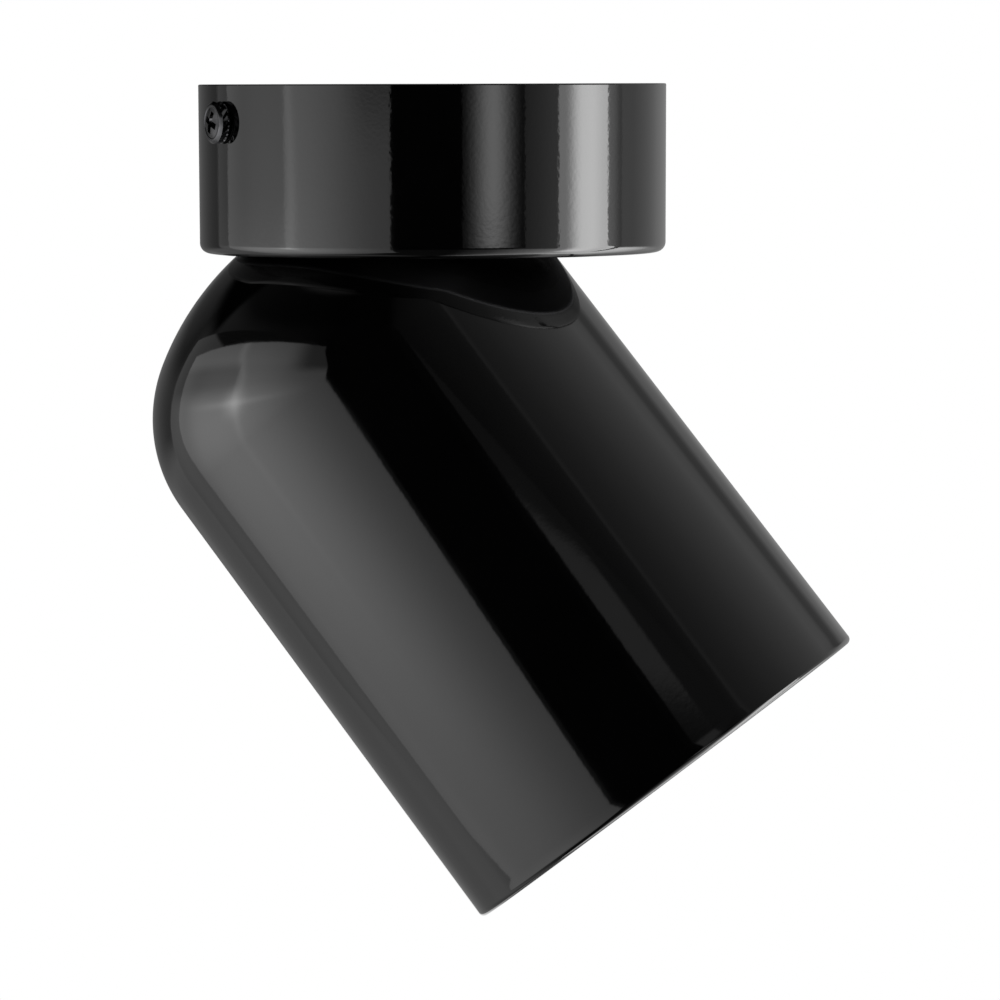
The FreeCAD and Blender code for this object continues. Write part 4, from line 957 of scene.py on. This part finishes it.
RING_STEPS = 16
CONE_INNER, CONE_OUTER = (26.4, -61.4), (41.45, -67.0)
ring_outline = [(43.05, -66.0), (41.45, -66.0), (27.4, -60.4)]
ring_outline += [(27.4, -56.1), (27.2, -55.9), (26.6, -55.9), (26.4, -56.1)]
treads = ladder(CONE_INNER, CONE_OUTER, RING_STEPS)
for (radius, height), (next_radius, _) in zip(treads, treads[1:] + [CONE_OUTER]):
    ring_outline += [(radius, height), (next_radius - 0.12, height - 0.04)]
ring_outline += [CONE_OUTER, (42.85, -67.0), (43.05, -66.8)]
glare_steps = add_object("glare_ring_steps", turned("glare_ring_steps", ring_outline, 240))
glare_steps.data.transform(lean_head)
settle(glare_steps.data, 25)
coat(glare_steps, matt_paint)
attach(glare_steps, "head")
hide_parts("glare_ring")
print("glare ring:", len(glare_steps.data.polygons), "faces")

# %% [markdown]
# ## The lamp
# The lamp is a twist-lock reflector lamp: a white moulded body with shallow cooling ribs that flares
# towards a rim. The ribs come from the recipe that knurls, with other sizes.

# %% The lamp's body
white_plastic = two_tone(
    "white moulded plastic", noise=(55.0, 3.0, 0.5), tones=((0.78, 0.78, 0.765, 1), (0.85, 0.85, 0.84, 1)),
    roughness=(0.34, 0.46), relief=(1800.0, 2.0, 0.5), bump=(0.00002, 0.5))

flare_start, flare_end, flare_radius = Vector((14.5, -23.0)), Vector((25.0, -50.0)), 44.0
chord = flare_end - flare_start
outwards = Vector((-chord.y, chord.x)).normalized()
flare_centre = (flare_start + flare_end) / 2 - outwards * sqrt(flare_radius**2 - (chord.length / 2) ** 2)
flare_angles = [degrees(atan2(*(spot - flare_centre).yx)) for spot in (flare_start, flare_end)]
body_outline = [(0.0, -14.0), (11.2, -14.0), (11.5, -14.3), (11.5, -23.0)]
body_outline += arc(flare_centre, flare_radius, *flare_angles, 60)
body_outline += [(25.0, -59.4), (24.8, -59.8), (24.4, -60.0), (22.9, -60.0), (22.6, -59.7), (22.6, -57.9)]
lamp_shell = turned_piece("lamp_moulding", body_outline + [(0.0, -57.9)], 300, False)
ribbing = Recipe(
    "cooling ribs", Teeth=30, Depth=0.9 * MM, Twist=0.0, Low=-49.0 * MM, High=-24.0 * MM, Edge=3.0 * MM,
    Inside=12.0 * MM)
ribbing.close(toothed(ribbing), white_plastic)
ribbing.run(lamp_shell)
lamp_shell.data.transform(lean_head)
settle(lamp_shell.data)
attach(lamp_shell, "head")
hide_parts("lamp_body")
print("lamp body:", len(lamp_shell.data.polygons), "faces")

# %% [markdown]
# The lamp's front is clear and moulded with rows of small domes that spread the light. They stand on a grid
# whose every second row is shifted by half a pitch, cut to a circle.

# %% The lamp's front
clear_front = two_tone(
    "clear plastic", noise=(260.0, 3.0, 0.5), tones=((0.90, 0.92, 0.93, 1), (0.95, 0.96, 0.97, 1)),
    roughness=(0.08, 0.16), bump=(0.00002, 0.3), IOR=1.58, Transmission_Weight=0.75)

FRONT_HEIGHT, ROW_SHARE = -59.42, sqrt(3) / 2
front_outline = [(0.0, -57.9), (22.35, -57.9), (22.55, -58.1), (22.55, -59.3), (22.35, -59.5), (21.5, -59.5)]
lamp_front = turned_piece("lamp_front", front_outline + [(0.0, FRONT_HEIGHT)], 120, False)
domes = Recipe(
    "lenslets", Pitch=2.3 * MM, Columns=23, Rows=25, Reach=20.4 * MM, Height=FRONT_HEIGHT * MM, Flatness=0.36)
pitch, columns, rows = domes.size("Pitch"), domes.size("Columns"), domes.size("Rows")
row_pitch = pitch * ROW_SHARE
grid = domes.node("GeometryNodeMeshGrid", {
    "Size X": pitch * (columns - 1), "Size Y": row_pitch * (rows - 1),
    "Vertices X": columns, "Vertices Y": rows})
x, y, _ = domes.parts(domes.position())
row = (y / row_pitch).maths("ROUND")
shift = row.maths("FLOORED_MODULO", 2.0) * pitch / 2
grid = domes.moved(grid, domes.vector(x + shift, y, domes.size("Height")))
x, y, _ = domes.parts(domes.position())
outside = ((x * x + y * y) ** 0.5).maths("GREATER_THAN", domes.size("Reach"))
grid = domes.node("GeometryNodeDeleteGeometry", {"Geometry": grid, "Selection": outside}, domain="POINT")
dome = domes.node("GeometryNodeMeshUVSphere", {"Segments": 14, "Rings": 7, "Radius": pitch * 0.52})
flat_scale = domes.vector(1.0, 1.0, domes.size("Flatness"))
dome = domes.node("GeometryNodeTransform", {"Geometry": dome, "Scale": flat_scale})
studded = domes.node("GeometryNodeInstanceOnPoints", {"Points": grid, "Instance": dome})
domes.close(domes.joined(domes.size("Geometry"), studded), clear_front)
domes.run(lamp_front)
lamp_front.data.transform(lean_head)
settle(lamp_front.data, 40)
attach(lamp_front, "head")
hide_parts("lamp_lens")
print("lamp front:", len(lamp_front.data.polygons), "faces")

# %% [markdown]
# ## The wires
# Three cores with silicone insulation leave the terminal block, go down through the hollow stem, and spread
# inside the head: two to the lampholder and the earth to the bracket. Silicone is dull and a little
# powdery, and the earth core has two stripes.

# %% Silicone insulation
def silicone(name, low, high, stripe=None):
    rubber = Finish(name)
    powder = rubber.noise(700.0, 3.0, 0.6)
    colour = rubber.blend(powder, low, high)
    if stripe:
        around = rubber.node("ShaderNodeAttribute", output=1, attribute_name="around")
        sideways = rubber.parts(around)[0]
        colour = rubber.blend(rubber.ramp(sideways * sideways, 0.36, 0.42), colour, stripe)
    return rubber.surface(
        Base_Color=colour,
        Roughness=rubber.ramp(powder, 0.3, 0.7, 0.42, 0.6),
        Normal=rubber.bump(powder, 0.00003, 0.5),
    )


GREENS, YELLOW = ((0.020, 0.200, 0.045, 1), (0.035, 0.250, 0.060, 1)), (0.78, 0.62, 0.04, 1)
core_finishes = {
    "brown": silicone("brown silicone", (0.105, 0.040, 0.018, 1), (0.150, 0.060, 0.028, 1)),
    "earth": silicone("green and yellow silicone", *GREENS, YELLOW),
    "blue": silicone("blue silicone", (0.012, 0.075, 0.330, 1), (0.020, 0.100, 0.400, 1)),
}
print("core finishes:", list(core_finishes))

# %% [markdown]
# Each line is a smooth spline, with the route's points as its control points, and a recipe lays a tube
# along it. The recipe also notes the direction round the tube, so that the earth core's stripes follow it.

# %% Tubes along splines
CORE_RADIUS = 0.9


def spline_line(name, spots):
    """The smooth line of a route as a mesh of edges."""
    curve = bpy.data.curves.new(name, "CURVE")
    curve.dimensions = "3D"
    curve.resolution_u = 10
    spline = curve.splines.new("NURBS")
    spline.points.add(len(spots) - 1)
    for point, spot in zip(spline.points, spots):
        point.co = (*(Vector(spot) * MM), 1)
    spline.order_u = 3
    spline.use_endpoint_u = True
    holder = add_object(name, curve)
    line = evaluated_mesh(holder)
    bpy.data.objects.remove(holder)
    return line


def core_recipe(finish):
    """Lays a round tube along a line and keeps the direction round it as an attribute."""
    recipe = Recipe("core", Radius=CORE_RADIUS * MM, Sides=20)
    line = recipe.node("GeometryNodeMeshToCurve", {"Mesh": recipe.size("Geometry")})
    circle = {"Resolution": recipe.size("Sides"), "Radius": recipe.size("Radius")}
    ring = recipe.node("GeometryNodeCurvePrimitiveCircle", circle)
    spot = recipe.vector_maths("NORMALIZE", recipe.position())
    noted = {"Geometry": ring, "Name": "around", "Value": spot}
    ring = recipe.node("GeometryNodeStoreNamedAttribute", noted, data_type="FLOAT_VECTOR", domain="POINT")
    tube = recipe.node("GeometryNodeCurveToMesh", {"Curve": line, "Profile Curve": ring, "Fill Caps": True})
    recipe.close(tube, finish)
    return recipe


core_recipes = {colour: core_recipe(finish) for colour, finish in core_finishes.items()}


def core(name, colour, spots, node):
    piece = add_object(name, spline_line(name, spots))
    core_recipes[colour].run(piece)
    settle(piece.data, 50)
    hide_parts(node)
    return piece


print("core recipes:", len(core_recipes))

# %% [markdown]
# Each core is three tubes: from its terminal to the stem, through the stem, and from the stem into the
# head. The first keeps still.

# %% The routes
STEM_TOP, STEM_BOTTOM, STEM_STEPS, LEAD = -6.9, -48.8, 12, 4.5
CORE_CIRCLE = 1.15
colours = ("brown", "earth", "blue")
start_angles = [radians(angle) for angle in (210, 90, 330)]
starts = [Vector((CORE_CIRCLE * cos(angle), CORE_CIRCLE * sin(angle), 0)) for angle in start_angles]
POLE_X, POLE_Y, CROSSING_TOP, POLE_FALL = (-8.0, 0.0, 8.0), 17.0, -1.5, 7.5
to_pole = (
    (0, 0, 0.38), (0.09, 0.09, 0.19), (0.32, 0.4, 0.31), (0.77, 0.66, 0.66), (1, 0.86, 1), (1, 1.12, 1))
for colour, start, pole_x in zip(colours, starts, POLE_X):
    route = [(start.x, start.y, STEM_TOP)]
    for across_share, along_share, down in to_pole:
        x = start.x + (pole_x - start.x) * across_share
        y = start.y + (POLE_Y - start.y) * along_share
        route.append((x, y, CROSSING_TOP - POLE_FALL * down))
    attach(core(f"terminal_core_{colour}", colour, route, "terminal_cores"), "base")
    drop = [(start.x, start.y, between(STEM_TOP, STEM_BOTTOM, i, STEM_STEPS)) for i in range(STEM_STEPS + 1)]
    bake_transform(core(f"stem_core_{colour}", colour, drop, "stem_cores"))


def in_head(x, y, z):
    """A place in the upright head, in millimetres, as a place in the leaning one."""
    return lean_head @ (Vector((x, y, z)) * MM) / MM


TAIL_X, TAIL_LOW, TAIL_END, WAIST = 4.0, 10.5, 4.2, 0.9
EARTH_X, EARTH_Y, EARTH_LOW, EARTH_RISE = 19.95, 8.8, -11.3, 17.3
to_bracket = ((0.09, 0.62, 1.44), (0.5, 1, 1.16), (0.92, 0.95, 0.64), (1.04, 0.78, 0.17))
for colour, start, side_x in zip(colours, starts, (-TAIL_X, None, TAIL_X)):
    leave = Vector((start.x, start.y, STEM_BOTTOM))
    below = leave - Vector((0, 0, LEAD))
    if side_x is None:
        spots = [in_head(EARTH_X * a, EARTH_Y * b, EARTH_LOW + EARTH_RISE * c) for a, b, c in to_bracket]
        route, bend_end = [leave, below, *spots, in_head(EARTH_X, 3.65, -10.2)], spots[1]
    else:
        low = in_head(side_x, 0, TAIL_LOW)
        waist = (below + low) / 2 - Vector((WAIST, 0, 0))
        route, bend_end = [leave, below, waist, low, in_head(side_x, 0, TAIL_END)], low
    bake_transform(core(f"head_core_{colour}", colour, route, "holder_cores"), "swivel", "head",
             start=leave * MM, end=bend_end * MM)
print("cores:", 3 * len(colours))

# %% [markdown]
# ## Finishes of the hidden hardware
# The construction model's brackets, screws, washers and blocks already have their true shapes, so they stay
# and get better finishes. Zinc plate is a bright metal with faint cloudy patches and fine rolling marks.
# The stem's steel and the brass are turned, with fine lines round them.

# %% Metals
def zinc_plate(name, cloud_scale, low, high, mark_stretch=(1, 1, 12)):
    zinc = Finish(name)
    cloud = zinc.noise(cloud_scale, 4.0, 0.6)
    marks = zinc.noise(1100.0, 2.0, 0.5, mark_stretch)
    return zinc.surface(
        Base_Color=zinc.blend(zinc.ramp(cloud, 0.3, 0.7), low, high),
        Metallic=1.0,
        Roughness=zinc.ramp(cloud * 0.6 + marks * 0.4, 0.3, 0.7, 0.26, 0.40),
        Normal=zinc.bump(marks, 0.000006, 0.4),
    )


sheet_zinc = zinc_plate("zinc plated sheet", 48.0, (0.55, 0.57, 0.60, 1), (0.70, 0.70, 0.67, 1))
screw_zinc = zinc_plate("zinc plated screws", 220.0, (0.58, 0.60, 0.63, 1), (0.74, 0.74, 0.72, 1), (1, 1, 3))
TURNING_LINES = (2600.0, 2.0, 0.5, (1, 1, 6))
stem_metal = two_tone(
    "turned steel", noise=(120.0, 4.0, 0.6), tones=((0.52, 0.52, 0.54, 1), (0.66, 0.66, 0.65, 1)),
    roughness=(0.24, 0.40), relief=TURNING_LINES, bump=(0.00001, 0.4), Metallic=1.0)
brass_metal = two_tone(
    "turned brass", noise=(160.0, 4.0, 0.6), tones=((0.74, 0.53, 0.24, 1), (0.62, 0.42, 0.19, 1)),
    tone_spread=(0.35, 0.75), roughness=(0.20, 0.36), relief=TURNING_LINES, bump=(0.00002, 0.5), Metallic=1.0)
print("metals:", sheet_zinc.name, screw_zinc.name, stem_metal.name, brass_metal.name, sep=", ")

# %% [markdown]
# Nylon is waxy, and the lampholder's steatite is a fine-grained ceramic. Then each node of the construction
# model that stays visible gets its finish.

# %% Nylon, ceramic, and the construction model's own pieces
nylon_plastic = two_tone(
    "natural nylon", noise=(90.0, 3.0, 0.5), tones=((0.76, 0.745, 0.69, 1), (0.83, 0.82, 0.78, 1)),
    roughness=(0.36, 0.52), relief=(1500.0, 2.0, 0.5), bump=(0.00002, 0.5))

stone = Finish("steatite")
grain = stone.noise(1900.0, 4.0, 0.65)
tint = stone.noise(70.0, 3.0, 0.5)
speckle = stone.ramp(grain * 0.6 + tint * 0.4, 0.35, 0.65)
steatite = stone.surface(
    Base_Color=stone.blend(speckle, (0.76, 0.73, 0.66, 1), (0.86, 0.84, 0.79, 1)),
    Roughness=stone.ramp(grain, 0.3, 0.7, 0.48, 0.68),
    Normal=stone.bump(grain, 0.00005, 0.7),
)

finishes = {
    sheet_zinc: ("ceiling_plate", "yoke", "lamp_carrier", "holder_bracket"),
    screw_zinc: (
        "terminal_fixing_screws", "earth_washer", "pan_stop_washer", "spring_washer", "pan_nut",
        "yoke_nut_upper", "yoke_nut_lower", "holder_screws", "bracket_screws", "carrier_screws",
        "pivot_screws", "pivot_nuts"),
    brass_metal: ("terminal_clamp_screws", "earth_screw", "lamp_pins"),
    nylon_plastic: ("terminal_block", "upper_nylon_washer", "lower_nylon_washer", "friction_washers"),
    steatite: ("lampholder",),
}
for finish, names in finishes.items():
    for name in names:
        for slot in frame["nodes"][name].material_slots:
            slot.material = finish
print("finished nodes:", sum(len(names) for names in finishes.values()))

# %% [markdown]
# ## The stem's thread
# The construction model's stem is a plain tube with a flange and two flats. The visual one is the same
# tube, turned in rows finer than its thread. A recipe cuts a right-hand thread of 1 mm pitch, with blunt
# crests and roots, into both ends, leaves the length that turns in the canopy's boss smooth, and presses
# the two flats for the stop washer.

# %% The threaded stem
STEM_RADIUS, STEM_BORE, FLANGE_RADIUS = 4.95, 3.5, 9.5
STEM_LOW, STEM_HIGH, FLANGE_LOW, FLANGE_HIGH = -49.7, -6.0, -17.0, -15.8
FLAT_LOW, FLAT_HALF, CHAMFER, BREAK = -11.6, 4.3, 0.45, 0.1
ROWS_PER_TURN, STEM_SIDES = 8, 96


def stem_rows(low, high):
    """The stem's outside between two heights, in rows finer than the thread."""
    foot, head = (STEM_RADIUS, low), (STEM_RADIUS, high)
    return ladder(foot, head, round((high - low) * ROWS_PER_TURN)) + [head]


def threaded(recipe):
    """Cuts a right-hand thread below one height and above another, and presses flats above a third."""
    x, y, z = recipe.parts(recipe.position())
    radius = (x * x + y * y) ** 0.5
    turns = z / recipe.size("Pitch") - y.maths("ARCTAN2", x) / (2 * pi)
    groove = recipe.ramp(turns.maths("PINGPONG", 0.5), 0.08, 0.42)
    lower, upper, edge = recipe.size("Lower"), recipe.size("Upper"), recipe.size("Edge")
    band = recipe.ramp(z, lower - edge, lower, 1.0, 0.0) + recipe.ramp(z, upper, upper + edge)
    band = band * radius.maths("GREATER_THAN", recipe.size("Inside"))
    share = 1 - groove * band * recipe.size("Depth") / radius
    flat = recipe.size("Flat") + (1 - z.maths("GREATER_THAN", recipe.size("Ledge")))
    y = (y * share).maths("MINIMUM", flat).maths("MAXIMUM", -flat)
    return recipe.moved(recipe.size("Geometry"), recipe.vector(x * share, y, z))


stem_outline = [(STEM_BORE, STEM_LOW + 2 * BREAK), (STEM_BORE + 2 * BREAK, STEM_LOW)]
stem_outline += [(STEM_RADIUS - CHAMFER, STEM_LOW)] + stem_rows(STEM_LOW + CHAMFER, FLANGE_LOW)
stem_outline += [(FLANGE_RADIUS - BREAK, FLANGE_LOW), (FLANGE_RADIUS, FLANGE_LOW + BREAK)]
stem_outline += [(FLANGE_RADIUS, FLANGE_HIGH - BREAK), (FLANGE_RADIUS - BREAK, FLANGE_HIGH)]
stem_outline += stem_rows(FLANGE_HIGH, STEM_HIGH - CHAMFER) + [(STEM_RADIUS - CHAMFER, STEM_HIGH)]
stem_outline += [(STEM_BORE + 2 * BREAK, STEM_HIGH), (STEM_BORE, STEM_HIGH - 2 * BREAK)]
threaded_stem = turned_piece("threaded_stem", stem_outline, STEM_SIDES)
threading = Recipe(
    "threaded stem", Pitch=1.0 * MM, Depth=0.55 * MM, Edge=0.5 * MM, Inside=4.2 * MM, Flat=FLAT_HALF * MM,
    Lower=(FLANGE_LOW - 0.4) * MM, Upper=(FLAT_LOW + 0.2) * MM, Ledge=(FLAT_LOW + 0.05) * MM)
threading.close(threaded(threading), stem_metal)
threading.run(threaded_stem)
settle(threaded_stem.data)
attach(threaded_stem, "swivel")
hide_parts("stem")
print("threaded stem:", len(threaded_stem.data.polygons), "faces")
